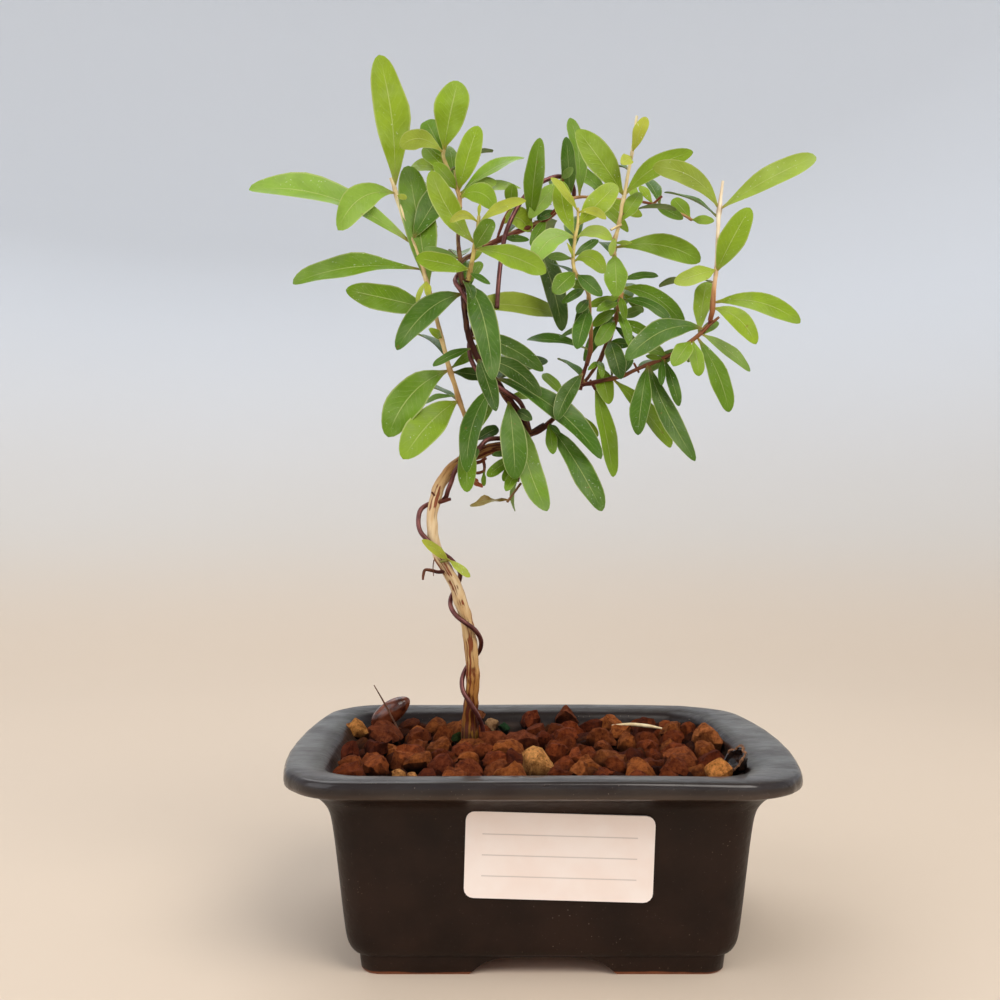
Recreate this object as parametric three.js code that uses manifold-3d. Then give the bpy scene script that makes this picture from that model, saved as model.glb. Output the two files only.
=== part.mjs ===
// A young pomegranate trained as a bonsai, in its glazed pot. Millimetres, +Z up, front towards -Y.
// The trunk and each leafy stem is one solid with its leaves grown into it; the pot, the clay soil, the
// training wires and the dry litter on the soil are solids of their own.
import * as THREE from "three";
import { mergeVertices } from "three/addons/utils/BufferGeometryUtils.js";
import Module from "manifold-3d";

const wasm = await Module();
wasm.setup();

// ---- Driving dimensions, millimetres ----

const FIT_GAP = 0.3; // between pieces that touch
const MERGE = 1e-4; // points this close are one

const POT_HALF_WIDTH = 67.5;
const POT_HALF_DEPTH = 54;
const POT_CORNER = 19; // plan radius at the lip
const POT_CORNER_EASE = 0.72; // how fast the plan radius shrinks with the inset
const POT_WALL_INSET = 11.8; // of the wall just under the lip
const POT_DEPTH_EASE = 0.6; // below it the front and back lean in this much of what the sides do
const POT_CORNER_STEPS = 4;
const FOOT_HEIGHT = 4.6;

// [inset from the lip's outline, height], from the edge of the underside up the outside to the lip
const POT_OUTSIDE = [
  [20.2, FOOT_HEIGHT], [18.7, 5.3], [16.7, 10.8], [12.6, 41.7], [11.8, 43.8], [10, 45.9],
  [7.5, 47.4], [3, 48.3], [0.9, 48.9], [0, 50.4], [0.3, 51.8], [1.6, 53],
];
// from the lip down the inside to the floor
const POT_INSIDE = [
  [6, 52.8], [10.5, 51.6], [12.4, 49.6], [14.4, 46], [16.6, 41], [20.6, 11], [22, 9],
];
const FOOT_OUTER_INSET = [20.6, 21.9]; // at the top and at the bottom of the foot ring
const FOOT_RING_WIDTH = 8;
const FOOT_SINK = 0.8; // how far the foot ring reaches up into the floor
const FRONT_ARCH = [20, 15.5]; // half length at the ground and at its top
const SIDE_ARCH = [14, 10.5];
const DRAIN_HOLE_X = 24;
const DRAIN_HOLE_RADIUS = 6;

const SCREEN_SIDE = 18;
const SCREEN_THICKNESS = 0.8;
const SCREEN_MESH = 4.8; // pitch of its square holes
const SCREEN_HOLE = 3.2;

const LABEL_WIDTH = 47.8;
const LABEL_HEIGHT = 22.4;
const LABEL_CORNER = 2.4;
const LABEL_THICKNESS = 0.5;
const LABEL_CENTRE = [4, 31.5]; // along X, and height
const LABEL_TURN = THREE.MathUtils.degToRad(-1.7);
const LABEL_STAND_OFF = 0.45; // from the straight of the front wall, which curves out a little at the top

const SOIL_TOP = 47;
const SOIL_UNDERSIDE = 10.4;
const GRANULE_PITCH = 12.6;
const GRANULE_RADIUS = [5.2, 7.2];
const GRANULE_JITTER = 0.17; // of the radius, at each corner
const GRANULE_SPREAD = 1.5; // off the grid
const GRANULE_RISE = [-0.6, 0.9]; // of its middle above the bed
const TRUNK_HOLE_RADIUS = 3.5;
const TRUNK_HOLE_FLOOR = 27;
const WIRE_HOLE_RADIUS = 1.4;
const HIGHEST_DROP = 4; // litter is lowered on to the soil from this far above its stated place
const LOWEST_DROP = -10;
const DROP_STEP = 0.1;

const ROOT_DEPTH = 17; // of the trunk's buried foot below its lowest drawn point
const ROOT_RADIUS = 2.2;
const TRUNK_SIDES = 8;
const STEM_SIDES = 5;
const STEM_STEPS = 0.7; // sections of a stem for each of its drawn points

const WIRE_DIAMETER = 1.4;
const WIRE_SIDES = 5;
const WIRE_CLEARANCE = 0.55; // between the wire and the bark
const WIRE_BURIED_END = 38; // height of its end in the soil
const TRUNK_WIRE_STEPS = 106; // sections along each wire
const REAR_WIRE_STEPS = 24;

const BLADE_THICKNESS = 0.7;
const BLADE_SLENDER = 0.24; // least width for its length
const BLADE_LEAST_HALF_WIDTH = 0.42;
const BLADE_TILT = 0.2; // radians, least turn towards the sky
const BLADE_MOST_TILT = 1.25;
const BLADE_ARCH = 0.07; // rise of an unbent blade's middle, of its length
// [share of the length, share of the half width]
const LARGE_BLADE_OUTLINE = [[0, 0.1], [0.3, 0.7], [0.58, 1], [0.88, 0.76], [1, 0.26]];
const BLADE_OUTLINE = [[0, 0.12], [0.36, 0.86], [0.78, 0.92], [1, 0.26]];
const SMALL_BLADE_OUTLINE = [[0, 0.3], [0.2, 0.4], [0.6, 1], [1, 0.2]];
const SMALL_BLADE = 11; // length under which a blade takes the small outline
const LARGE_BLADE = 27; // and from which it takes the large one
const BLADE_START = 0.5; // how far out of its stem's centre line a blade begins, of the radius

const REAR_LEAF_SPACING = 15; // along a stem
const REAR_LEAF_LENGTH = [16, 25];
const REAR_LEAF_SWING = 0.9; // radians either side of straight back
const REAR_LEAF_RISE = [0.05, 0.75];

// Leaves bend clear of each other: the bends tried, in depth, and the room kept between middles
const BENDS = [0, -2, 2, -4, 4, -6, 6, -8, 8, -10, 10, -13, 13];
const ROOM_BETWEEN_STEMS = 2.3;
const ROOM_ON_ONE_STEM = 1.2;
const ROOM_TO_WOOD = 1.1;

// ---- The drawn tree ----
// It is drawn on an upright sheet, as seen in perspective from an eye point in front of the pot. A drawn
// point (u to the right, v down) and its depth y together give a place in space.

const SHEET_MIDDLE = 500;
const SHEET_FOCUS = 1140;
const EYE = [-11, -330, 119];
const EYE_RISE = THREE.MathUtils.degToRad(0.5); // how far the line of sight tilts up

// Stem lines: [u, v, thickness on the sheet, depth]. Leaves: [u and v of the base, u and v of the tip,
// width on the sheet, reach in depth from base to tip, and where it bends, u and v of the bend].
const TRUNK_LINE = [
  [470, 752, 17, 11], [470, 738, 18, 10], [470, 720, 16, 10], [471, 700, 14.5, 9], [473, 680, 13.5, 8],
  [472, 660, 13, 7], [470, 640, 13, 6], [467, 622, 13, 5], [461, 603, 13, 4], [455, 585, 12.5, 3],
  [447, 570, 12.5, 2], [438, 553, 12, 1], [433, 535, 11.5, 0], [432, 518, 11.5, 0],
  [435, 500, 11.5, 0], [439, 487, 11.5, 1], [447, 474, 12, 2], [458, 464, 12, 2], [474, 456, 11, 2],
  [490, 449, 11, 1], [500, 447, 10, 1], [515, 441, 9, 0], [530, 433, 8, 0],
];

const WIRED_LIMB_LINE = [
  [530, 433, 8, 0], [520, 416, 7.5, 0], [512, 404, 7, -1], [504, 393, 7, -2], [497, 383, 7, -3],
  [488, 372, 6.5, -4], [479, 360, 6, -5], [472, 346, 6, -6], [468, 332, 6, -7], [465, 315, 5.5, -8],
  [464, 300, 5.5, -8], [463, 288, 5, -8], [461, 272, 5, -7], [460, 258, 4.5, -6], [458, 240, 4, -5],
  [459, 222, 4, -4], [460, 206, 3.8, -3],
];

const LEAFY_STEMS = {
  shoot_left: {
    stems: [
      [
        [474, 443, 5, 1], [470, 430, 5, 0], [462, 408, 5, -2], [459, 400, 5.5, -2], [455, 386, 5, -3],
        [450, 371, 5.5, -4], [446, 355, 4.5, -4], [442, 340, 5, -4], [437, 320, 4.5, -4],
        [431, 297, 4.5, -3], [426, 280, 4.5, -2], [420, 262, 4.5, -1], [414, 247, 5, 0],
        [408, 232, 4.5, 1], [402, 213, 4.5, 2], [397, 197, 5, 3], [394, 186, 4, 3], [391, 178, 4, 3],
      ],
    ],
    leaves: [
      [398, 188, 379, 55, 37, -4, 397, 120], [412, 246, 249, 190, 28, -8, 335, 180],
      [398, 193, 338, 230, 30, -18, 355, 185], [428, 290, 408, 166, 36, 10, 420, 232],
      [414, 240, 446, 186, 28, 8], [422, 270, 293, 284, 23, -4, 350, 258],
      [434, 310, 346, 290, 28, -8, 385, 298], [441, 338, 429, 329, 9, -8],
      [449, 371, 388, 437, 36, -6, 405, 385], [458, 401, 403, 459, 36, -12, 430, 415],
      [455, 397, 423, 405, 6, 8], [451, 371, 486, 377, 15, 8], [451, 369, 484, 347, 14, 8],
      [469, 430, 467, 492, 19, -6], [474, 438, 491, 405, 12, 6],
    ],
  },
  shoot_top: {
    stems: [
      [
        [460, 204.5, 3.8, -3], [459, 195, 4, -2], [452, 178, 3.5, -1], [447, 166, 3.5, 0],
        [443, 155, 3.5, 0], [444, 150, 3, 0],
      ],
      [
        [458.6, 192, 3.4, -1.9], [457, 184, 3.5, -2], [455, 170, 3, -3],
      ],
    ],
    leaves: [
      [444, 151, 458, 81, 34, -4], [443, 153, 400, 147, 20, -8, 420, 128], [445, 160, 426, 121, 25, 6],
      [452, 178, 424, 147, 18, 7], [454, 183, 449, 146, 14, 9], [449, 171, 411, 167, 14, 10],
      [457, 190, 434, 163, 15, -6], [459, 192, 478, 126, 24, -3],
      [460, 197.5, 496, 208, 22, -12, 482, 183], [460, 193, 496, 181, 14, 5],
      [460, 195, 524, 158, 11, 12], [460, 199, 520, 188, 10, 16],
    ],
  },
  shoot_front: {
    stems: [
      [
        [469, 276, 5, -10], [472, 262, 4, -11], [475, 245, 4, -12], [478, 226, 3.5, -14],
        [479, 216, 3, -14],
      ],
    ],
    leaves: [
      [475, 244, 431, 171, 26, -3, 445, 215], [478, 223, 450, 222, 10, -5, 463, 208],
      [479, 224, 526, 201, 12, -6, 500, 204], [475, 249, 546, 273, 25, -9, 512, 252],
      [475, 250, 493, 220, 20, -5], [470, 270, 416, 258, 20, -6],
    ],
  },
  limb_left: {
    stems: [
      [
        [520, 416, 7.5, 0], [512, 404, 7, -1], [504, 393, 7, -2], [497, 383, 7, -3],
        [488, 372, 6.5, -4], [479, 360, 6, -5], [472, 346, 6, -6], [468, 332, 6, -7],
        [465, 315, 5.5, -8], [464, 300, 5.5, -8], [463, 288, 5, -8], [461, 272, 5, -7],
        [460, 258, 4.5, -6], [458, 240, 4, -5], [459, 222, 4, -4], [460, 206, 3.8, -3],
      ],
      [
        [463, 286, 5, -8], [467, 281, 5, -9], [468.5, 277.5, 5, -10],
      ],
      [
        [461, 262, 5, -6.5], [466, 258, 5, -4], [470, 256, 5, -2],
      ],
    ],
    leaves: [
      [463, 294, 397, 350, 28, -8, 425, 300], [464, 284, 493, 380, 28, -8, 486, 298],
      [464, 281, 472, 299, 9, -9], [478, 358, 496, 411, 19, -12],
      [497, 384, 467, 472, 22, -6, 466, 414], [508, 399, 515, 479, 28, -9],
      [473, 348, 433, 366, 9, -3], [470, 338, 543, 371, 20, 2, 506, 338],
      [479, 360, 541, 396, 20, -3, 515, 360], [495, 382, 547, 360, 13, 12],
      [465, 306, 560, 316, 24, 14, 515, 300], [493, 377, 601, 459, 25, -12, 558, 396],
      [507, 397, 531, 395, 10, 9], [518, 413, 547, 511, 27, -13, 522, 465],
      [460, 258, 424, 249, 10, -2], [463, 290, 481, 262, 12, 6],
    ],
  },
  apex_tuft: {
    stems: [
      [
        [517.4, 446.1, 3.6, -0.6], [517, 456, 3.4, -2], [517, 464, 3.2, -3], [519, 472, 3, -4],
        [518, 482, 2.6, -4],
      ],
    ],
    leaves: [
      [517, 455, 487, 476, 12, -4], [518, 470, 506, 491, 12, -6], [518, 477, 515, 511, 5, 3],
    ],
  },
  limb_back: {
    stems: [
      [
        [471.5, 255.3, 5, -1.4], [478, 250, 6, 0], [497, 241, 6, 4], [512, 234, 6, 6],
        [527, 228, 6, 8], [542, 221, 6, 10], [554, 213, 5, 12], [560, 205, 4.5, 13], [568, 200, 4, 14],
        [580, 197, 3, 15], [600, 198, 2.8, 17], [625, 200, 2.8, 19], [652, 204, 2.8, 22],
        [668, 210, 2.6, 23], [681, 214, 2.6, 24], [692, 220, 2.6, 24],
      ],
      [
        [566, 201, 3, 14], [564, 190, 3, 12], [562, 178, 2.6, 10],
      ],
      [
        [497, 241, 3, 4], [503, 222, 3, 5], [511, 206, 2.6, 6],
      ],
      [
        [545, 221, 3, 11], [556, 209, 3, 10],
      ],
      [
        [653, 204, 2.6, 22], [662, 196, 2.6, 21],
      ],
    ],
    leaves: [
      [530, 226, 540, 138, 21, 2], [580, 197, 570, 118, 17, 2, 582, 150], [569, 199, 566, 137, 16, -3],
      [612, 199, 568, 163, 14, 4], [562, 179, 529, 218, 18, -5],
      [502, 224, 530, 232, 22, -5, 518, 208], [600, 198, 642, 216, 13, -4],
      [590, 198, 628, 232, 12, -6], [654, 205, 683, 219, 13, -5], [529, 227, 562, 331, 22, -2],
      [545, 220, 531, 246, 12, -5],
    ],
  },
  shoot_centre: {
    stems: [
      [
        [587.4, 361.5, 5.6, -1], [590, 352, 5.5, -2], [591, 335, 5, -4], [590, 320, 5, -5],
        [589, 305, 5, -6], [588, 292, 5, -7], [582, 282, 4.5, -8], [575, 272, 4.5, -9],
        [573, 258, 4, -9], [575, 240, 4, -10], [578, 222, 3.5, -10], [578, 208, 3, -10],
      ],
    ],
    leaves: [
      [578, 212, 551, 178, 9, -3], [576, 236, 561, 181, 20, -2, 560, 210],
      [575, 238, 534, 263, 23, -6, 548, 228], [578, 213, 606, 219, 9, -4, 594, 206],
      [578, 226, 617, 185, 25, -2], [576, 239, 612, 240, 14, -7, 595, 224],
      [575, 272, 553, 293, 20, -8], [573, 258, 548, 256, 9, 5], [574, 262, 605, 273, 18, -6, 592, 248],
      [574, 257, 598, 240, 10, 6], [577, 274, 602, 296, 16, -5], [588, 302, 575, 329, 11, -5],
      [589, 307, 577, 349, 18, -8], [586, 288, 562, 303, 10, -3], [588, 300, 577, 313, 10, -9],
      [590, 325, 560, 338, 6, 3], [590, 350, 527, 340, 11, 2],
    ],
  },
  shoot_upright: {
    stems: [
      [
        [600.8, 358.5, 5.5, 3], [604, 350, 5.5, 4], [610, 337, 5.5, 4], [615, 322, 5.5, 5],
        [618, 308, 5, 5], [621, 294, 5, 5], [619, 275, 4.5, 5], [614, 255, 5, 4], [614, 242, 6, 3],
        [617, 232, 4.5, 3], [620, 218, 4.5, 2], [622, 205, 4.5, 2], [624, 197, 5, 2], [627, 180, 4, 1],
        [630, 163, 4, 1], [632, 153, 4, 0], [635, 130, 3.5, 0], [637, 116, 3, 0],
      ],
      [
        [618, 226, 3, 2], [611, 230, 3, 1],
      ],
    ],
    leaves: [
      [632, 153, 646, 117, 14, -3], [622, 196, 577, 130, 30, -6],
      [625, 196, 693, 152, 21, -4, 650, 162], [619, 224, 641, 193, 16, 3],
      [615, 248, 700, 262, 25, -6, 665, 236], [614, 254, 616, 297, 24, -9],
      [620, 297, 588, 306, 10, -5], [619, 303, 597, 311, 9, -8], [618, 311, 630, 347, 10, -7],
      [616, 320, 655, 336, 12, -3], [614, 326, 640, 347, 9, -5], [620, 281, 658, 276, 8, 3],
      [621, 288, 684, 326, 19, -3, 658, 288], [620, 300, 670, 321, 11, -7, 650, 298],
      [616, 320, 642, 309, 11, 4], [621, 292, 643, 312, 10, 6],
      [616, 318, 584, 361, 14, -11, 606, 315], [615, 320, 597, 346, 16, -4],
      [618, 308, 592, 326, 12, -1], [608, 339, 621, 379, 20, -9],
    ],
  },
  limb_right: {
    stems: [
      [
        [547.5, 424.5, 7.5, 0], [560, 412, 7, 1], [572, 396, 7, 1], [580, 386, 7, 0],
        [592, 383, 7, -1], [605, 380, 6.5, -2], [622, 376, 6, -3], [635, 370, 6, -4],
        [647, 365, 6, -5], [660, 360, 5.5, -6], [675, 352, 5.5, -7], [690, 342, 5.5, -7],
        [700, 334, 6, -7], [708, 326, 6, -7], [719, 317, 4, -7],
      ],
      [
        [581, 386, 6, 0], [583, 375, 6, 0], [587, 363, 6, -1],
      ],
      [
        [583, 384, 6, 0], [592, 372, 5.5, 2], [600, 360, 5.5, 3],
      ],
      [
        [706, 328, 5.5, -7], [709, 324, 5.5, -7], [710.6, 318.1, 5.5, -7.5],
      ],
      [
        [592, 383, 4, -1], [595, 389, 4, -3],
      ],
      [
        [637, 369, 3.5, -4], [634, 363, 3.5, -5],
      ],
    ],
    leaves: [
      [547, 426, 602, 511, 24, -10], [548, 425, 553, 454, 12, -6],
      [583, 373, 557, 420, 19, -6, 566, 390], [569, 400, 543, 374, 11, 8], [562, 409, 598, 436, 14, 5],
      [598, 362, 609, 404, 18, -6], [599, 361, 602, 378, 8, -8],
      [594, 383, 613, 477, 20, -5, 606, 430], [612, 379, 671, 447, 19, 5],
      [648, 365, 638, 435, 22, -8], [649, 365, 695, 461, 20, -5, 656, 400],
      [664, 358, 679, 406, 12, -2], [663, 359, 662, 385, 8, -5], [691, 341, 673, 366, 19, -6],
      [684, 346, 645, 372, 12, 6], [704, 329, 626, 360, 25, -9, 665, 316], [612, 379, 619, 352, 7, 7],
      [695, 338, 718, 322, 11, 4], [693, 340, 699, 376, 15, -5],
      [697, 337, 729, 412, 20, -4, 722, 372], [700, 334, 750, 371, 13, 4], [699, 335, 707, 282, 20, 4],
    ],
  },
  shoot_right: {
    stems: [
      [
        [711, 316.5, 5.5, -7.5], [712, 312, 5.5, -8], [713, 300, 5.5, -8], [714, 288, 5, -9],
        [716, 272, 4.5, -9], [717, 250, 4, -8], [718, 230, 4, -7], [719, 213, 5.5, -6],
        [720, 205, 5, -6], [721, 195, 3.5, -5], [723, 181, 3, -5],
      ],
    ],
    leaves: [
      [719, 210, 653, 167, 21, -3, 700, 168], [720, 210, 816, 157, 23, -5],
      [716, 272, 750, 208, 27, -4], [716, 270, 674, 283, 18, -8],
      [713, 303, 800, 323, 22, -5, 760, 292], [712, 308, 756, 344, 20, -8, 742, 312],
    ],
  },
  trunk_sprout: {
    stems: [
      [
        [444, 561, 3, -1.2], [449, 560, 3, -2.4],
      ],
    ],
    leaves: [
      [448, 560, 422, 540, 11, -5], [449, 560, 470, 577, 9, -4],
    ],
  },
  dry_leaf: {
    stems: [
      [
        [518.6, 486.6, 2.6, -4.4], [513, 494, 2.4, -4.8], [507, 502, 2.4, -5.5],
      ],
    ],
    leaves: [
      [508.5, 500, 470, 506, 8, -3],
    ],
  },
};

// Short forks that the trunk and the wired limb carry for what grows from them
const TRUNK_FORKS = [
  [[528.6, 433, 7.6, 0.1], [522.4, 420.6, 7.5, 0]],
  [[529, 434, 7.7, -0.1], [538, 430.2, 7.8, 0], [545.6, 425.8, 7.5, 0]],
  [[477, 456, 5.4, 1.8], [474.6, 444.5, 5, 1.1]],
];
const REAR_LEAFY = [
  "shoot_left", "shoot_top", "limb_left", "limb_back",
  "shoot_centre", "shoot_upright", "limb_right", "shoot_right",
];

// The wires: [height on the sheet, angle round the bark in degrees, extra distance from it]; 0 is the
// front, 90 the right side.
const TRUNK_WIRE_TURNS = [
  [744, 100, 0], [728, 88, 0], [715, 48, 0], [700, 0, 0], [690, -50, 0], [681, -90, 0], [672, -135, 0],
  [663, -180, 0], [654, -225, 0], [645, -262, 0], [637, -290, 0], [628, -325, 0], [619, -370, 0],
  [611, -410, 0], [603, -450, 0], [597, -490, 0], [590, -540, 0], [583, -580, 0], [577, -615, 0],
  [563, -660, 0], [554, -690, 0], [545, -720, 0], [537, -755, 0.2], [530, -785, 0.8], [522, -805, 1],
  [512, -825, 0.8], [505, -870, 0.2], [500, -920, 0], [495, -970, 0], [487, -1005, 0], [478, -1025, 0],
  [470, -1050, 0], [463, -1070, 0], [456, -1085, 0], [452, -1110, 0], [449, -1150, 0], [446, -1195, 0],
  [441, -1240, 0], [434, -1262, 0], [424, -1275, 0], [414, -1320, 0], [404, -1375, 0], [394, -1420, 0],
  [384, -1458, 0], [372, -1500, 0], [360, -1545, 0], [346, -1600, 0], [332, -1660, 0], [318, -1715, 0],
  [304, -1765, 0], [292, -1815, 0], [283, -1870, 0], [276, -1920, 0], [269, -1975, 0],
];
// the second wire: [u, v, depth] from its straight tail over the rear limb
const REAR_WIRE_LINE = [
  [497, 308, -4], [498, 290, -3], [500, 268, -1], [502.5, 250, 0.5], [505, 236, 1], [510, 222, 1.5],
  [517, 208, 4], [525, 196, 6], [535, 186, 8], [546, 180, 9.5], [557, 176.5, 11], [566, 178, 13],
  [572, 184, 17.5], [574, 193, 19.5], [572, 202, 20.5],
];

const LITTER = {
  pod: { at: [-45.6, 31, 57], half: [7.4, 3.8, 3.8], rise: 0.62 },
  needle: { foot: [407, 747, 25], knee: [386, 706, 24], tip: [374, 685, 23], radius: 0.35 },
  straw: { line: [[614, 727, 19], [630, 728, 19], [648, 732, 18.5], [662, 735, 18]], radius: 0.55 },
  husk: { at: [49.7, -29, 57], half: [5.4, 3.6, 2.6], wall: 0.9, turn: -0.5 },
};

// ---- Random numbers, seeded ----

const LCG_FACTOR = 16807;
const LCG_MODULUS = 2147483647;

function randomSource(seed) {
  let state = seed;
  return (low = 0, high = 1) => {
    state = (state * LCG_FACTOR) % LCG_MODULUS;
    return low + ((high - low) * state) / LCG_MODULUS;
  };
}

// ---- Small vector helpers on [x, y, z] ----

const add = (a, b) => [a[0] + b[0], a[1] + b[1], a[2] + b[2]];
const minus = (a, b) => [a[0] - b[0], a[1] - b[1], a[2] - b[2]];
const times = (a, k) => [a[0] * k, a[1] * k, a[2] * k];
const dot = (a, b) => a[0] * b[0] + a[1] * b[1] + a[2] * b[2];
const cross = (a, b) => [
  a[1] * b[2] - a[2] * b[1],
  a[2] * b[0] - a[0] * b[2],
  a[0] * b[1] - a[1] * b[0],
];
const size = (a) => Math.sqrt(dot(a, a));
const unit = (a) => times(a, 1 / size(a));
const mix = (a, b, t) => add(times(a, 1 - t), times(b, t));
const toVector = (a) => new THREE.Vector3(...a);

// The place of a drawn point at depth y
function seen(u, v, y) {
  const across = (u - SHEET_MIDDLE) / SHEET_FOCUS;
  const down = (v - SHEET_MIDDLE) / SHEET_FOCUS;
  const sin = Math.sin(EYE_RISE);
  const cos = Math.cos(EYE_RISE);
  const reach = (y - EYE[1]) / (cos + down * sin);
  return [EYE[0] + across * reach, y, EYE[2] + (sin - down * cos) * reach];
}

// A length on the sheet, in millimetres at depth y
const sheetLength = (length, y) => (length * (y - EYE[1])) / SHEET_FOCUS;

// ---- Solids ----

// The bare shape, without normals and uvs
function bare(geometry) {
  geometry.deleteAttribute("normal");
  geometry.deleteAttribute("uv");
  return geometry;
}

function solidOf(geometry) {
  const merged = mergeVertices(bare(geometry.clone()), MERGE);
  return new wasm.Manifold(
    new wasm.Mesh({
      numProp: 3,
      vertProperties: merged.attributes.position.array,
      triVerts: new Uint32Array(merged.index.array),
    }),
  );
}

const joined = (solids) => solids.reduce((whole, next) => whole.add(next));

function geometryOf(solid) {
  const mesh = solid.getMesh();
  const geometry = new THREE.BufferGeometry();
  geometry.setAttribute("position", new THREE.BufferAttribute(mesh.vertProperties, mesh.numProp));
  geometry.setIndex(new THREE.BufferAttribute(mesh.triVerts, 1));
  return geometry;
}

// A skin over rings of equally many points, capped at both ends or closed into a loop. Quads are split
// along the same diagonal all the way round.
function loft(rings, looped = false) {
  const count = rings[0].length;
  const positions = rings.flat(2);
  const faces = [];
  const last = looped ? rings.length : rings.length - 1;
  for (let i = 0; i < last; i++) {
    const here = i * count;
    const next = ((i + 1) % rings.length) * count;
    for (let j = 0; j < count; j++) {
      const k = (j + 1) % count;
      faces.push(here + j, here + k, next + k, here + j, next + k, next + j);
    }
  }
  if (!looped) {
    const top = (rings.length - 1) * count;
    for (let j = 1; j < count - 1; j++) {
      faces.push(0, j + 1, j);
      faces.push(top, top + j, top + j + 1);
    }
  }
  const geometry = new THREE.BufferGeometry();
  geometry.setAttribute("position", new THREE.Float32BufferAttribute(positions, 3));
  geometry.setIndex(faces);
  return solidOf(geometry);
}

// ---- Pot, screens, label ----

// Inset of the front and back where the sides have this inset
function depthInset(inset) {
  return Math.min(inset, POT_WALL_INSET) + POT_DEPTH_EASE * Math.max(inset - POT_WALL_INSET, 0);
}

// Plan outline of the pot at an inset from the lip, seen from above, anticlockwise
function planRing(inset, height, inwards = 0) {
  const radius = POT_CORNER - POT_CORNER_EASE * inset;
  const x = POT_HALF_WIDTH - inset - inwards - radius;
  const y = POT_HALF_DEPTH - depthInset(inset) - inwards - radius;
  const ring = [];
  for (const [sx, sy, start] of [[1, -1, -90], [1, 1, 0], [-1, 1, 90], [-1, -1, 180]]) {
    for (let k = 0; k <= POT_CORNER_STEPS; k++) {
      const angle = THREE.MathUtils.degToRad(start + (90 * k) / POT_CORNER_STEPS);
      ring.push([sx * x + radius * Math.cos(angle), sy * y + radius * Math.sin(angle), height]);
    }
  }
  return ring;
}

function archCutter([ground, top], length) {
  const shape = new THREE.Shape([
    new THREE.Vector2(-ground - 0.5, -0.5),
    new THREE.Vector2(ground + 0.5, -0.5),
    new THREE.Vector2(top, FOOT_HEIGHT),
    new THREE.Vector2(-top, FOOT_HEIGHT),
  ]);
  const bar = new THREE.ExtrudeGeometry(shape, { depth: length, bevelEnabled: false });
  bar.translate(0, 0, -length / 2);
  bar.rotateX(Math.PI / 2);
  return bar;
}

function footRing() {
  const [topInset, groundInset] = FOOT_OUTER_INSET;
  const ring = loft(
    [
      planRing(groundInset, 0),
      planRing(topInset, FOOT_HEIGHT),
      planRing(topInset, FOOT_HEIGHT + FOOT_SINK),
      planRing(groundInset, FOOT_HEIGHT + FOOT_SINK, FOOT_RING_WIDTH),
      planRing(groundInset, 0, FOOT_RING_WIDTH),
    ],
    true,
  );
  const fromFront = solidOf(archCutter(FRONT_ARCH, 2.2 * POT_HALF_DEPTH));
  const fromSide = solidOf(archCutter(SIDE_ARCH, 2.2 * POT_HALF_WIDTH).rotateZ(Math.PI / 2));
  return ring.subtract(fromFront).subtract(fromSide);
}

function pot() {
  const shell = loft([...POT_OUTSIDE, ...POT_INSIDE].map(([inset, height]) => planRing(inset, height)));
  const floorTop = POT_INSIDE.at(-1)[1];
  const drill = new THREE.CylinderGeometry(DRAIN_HOLE_RADIUS, DRAIN_HOLE_RADIUS, 3 * floorTop, 16);
  drill.rotateX(Math.PI / 2);
  return shell
    .add(footRing())
    .subtract(solidOf(drill.clone().translate(-DRAIN_HOLE_X, 0, 0)))
    .subtract(solidOf(drill.clone().translate(DRAIN_HOLE_X, 0, 0)));
}

// A square of plastic mesh over a drain hole
function drainScreen(x) {
  const height = POT_INSIDE.at(-1)[1] + FIT_GAP + SCREEN_THICKNESS / 2;
  const plate = new THREE.BoxGeometry(SCREEN_SIDE, SCREEN_SIDE, SCREEN_THICKNESS);
  const cuts = [];
  for (let i = -1; i <= 1; i++) {
    for (let j = -1; j <= 1; j++) {
      const cut = new THREE.BoxGeometry(SCREEN_HOLE, SCREEN_HOLE, 2 * SCREEN_THICKNESS);
      cuts.push(solidOf(cut.translate(x + i * SCREEN_MESH, j * SCREEN_MESH, height)));
    }
  }
  return solidOf(plate.translate(x, 0, height)).subtract(joined(cuts));
}

// The blank paper label, on the straight part of the front wall
function label() {
  const w = LABEL_WIDTH / 2 - LABEL_CORNER;
  const h = LABEL_HEIGHT / 2 - LABEL_CORNER;
  const shape = new THREE.Shape();
  shape.absarc(w, -h, LABEL_CORNER, -Math.PI / 2, 0);
  shape.absarc(w, h, LABEL_CORNER, 0, Math.PI / 2);
  shape.absarc(-w, h, LABEL_CORNER, Math.PI / 2, Math.PI);
  shape.absarc(-w, -h, LABEL_CORNER, Math.PI, 1.5 * Math.PI);
  const sheet = new THREE.ExtrudeGeometry(shape, {
    depth: LABEL_THICKNESS,
    bevelEnabled: false,
    curveSegments: 2,
  });
  const [lowInset, lowHeight] = POT_OUTSIDE[2];
  const [highInset, highHeight] = POT_OUTSIDE[3];
  const rise = highHeight - lowHeight;
  const lean = Math.atan2(depthInset(lowInset) - depthInset(highInset), rise);
  const [x, z] = LABEL_CENTRE;
  const inset = lowInset + ((highInset - lowInset) * (z - lowHeight)) / rise;
  sheet.rotateZ(LABEL_TURN);
  sheet.rotateX(Math.PI / 2 + lean);
  sheet.translate(x, -(POT_HALF_DEPTH - depthInset(inset)) - LABEL_STAND_OFF, z);
  return solidOf(sheet);
}

// ---- Soil ----

// Where the bed's inner wall stands at a height
function insideInset(height) {
  for (let i = 1; i < POT_INSIDE.length; i++) {
    const [inset, low] = POT_INSIDE[i];
    const [previous, high] = POT_INSIDE[i - 1];
    if (height >= low) return previous + ((inset - previous) * (high - height)) / (high - low);
  }
  return POT_INSIDE.at(-1)[0];
}

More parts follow.
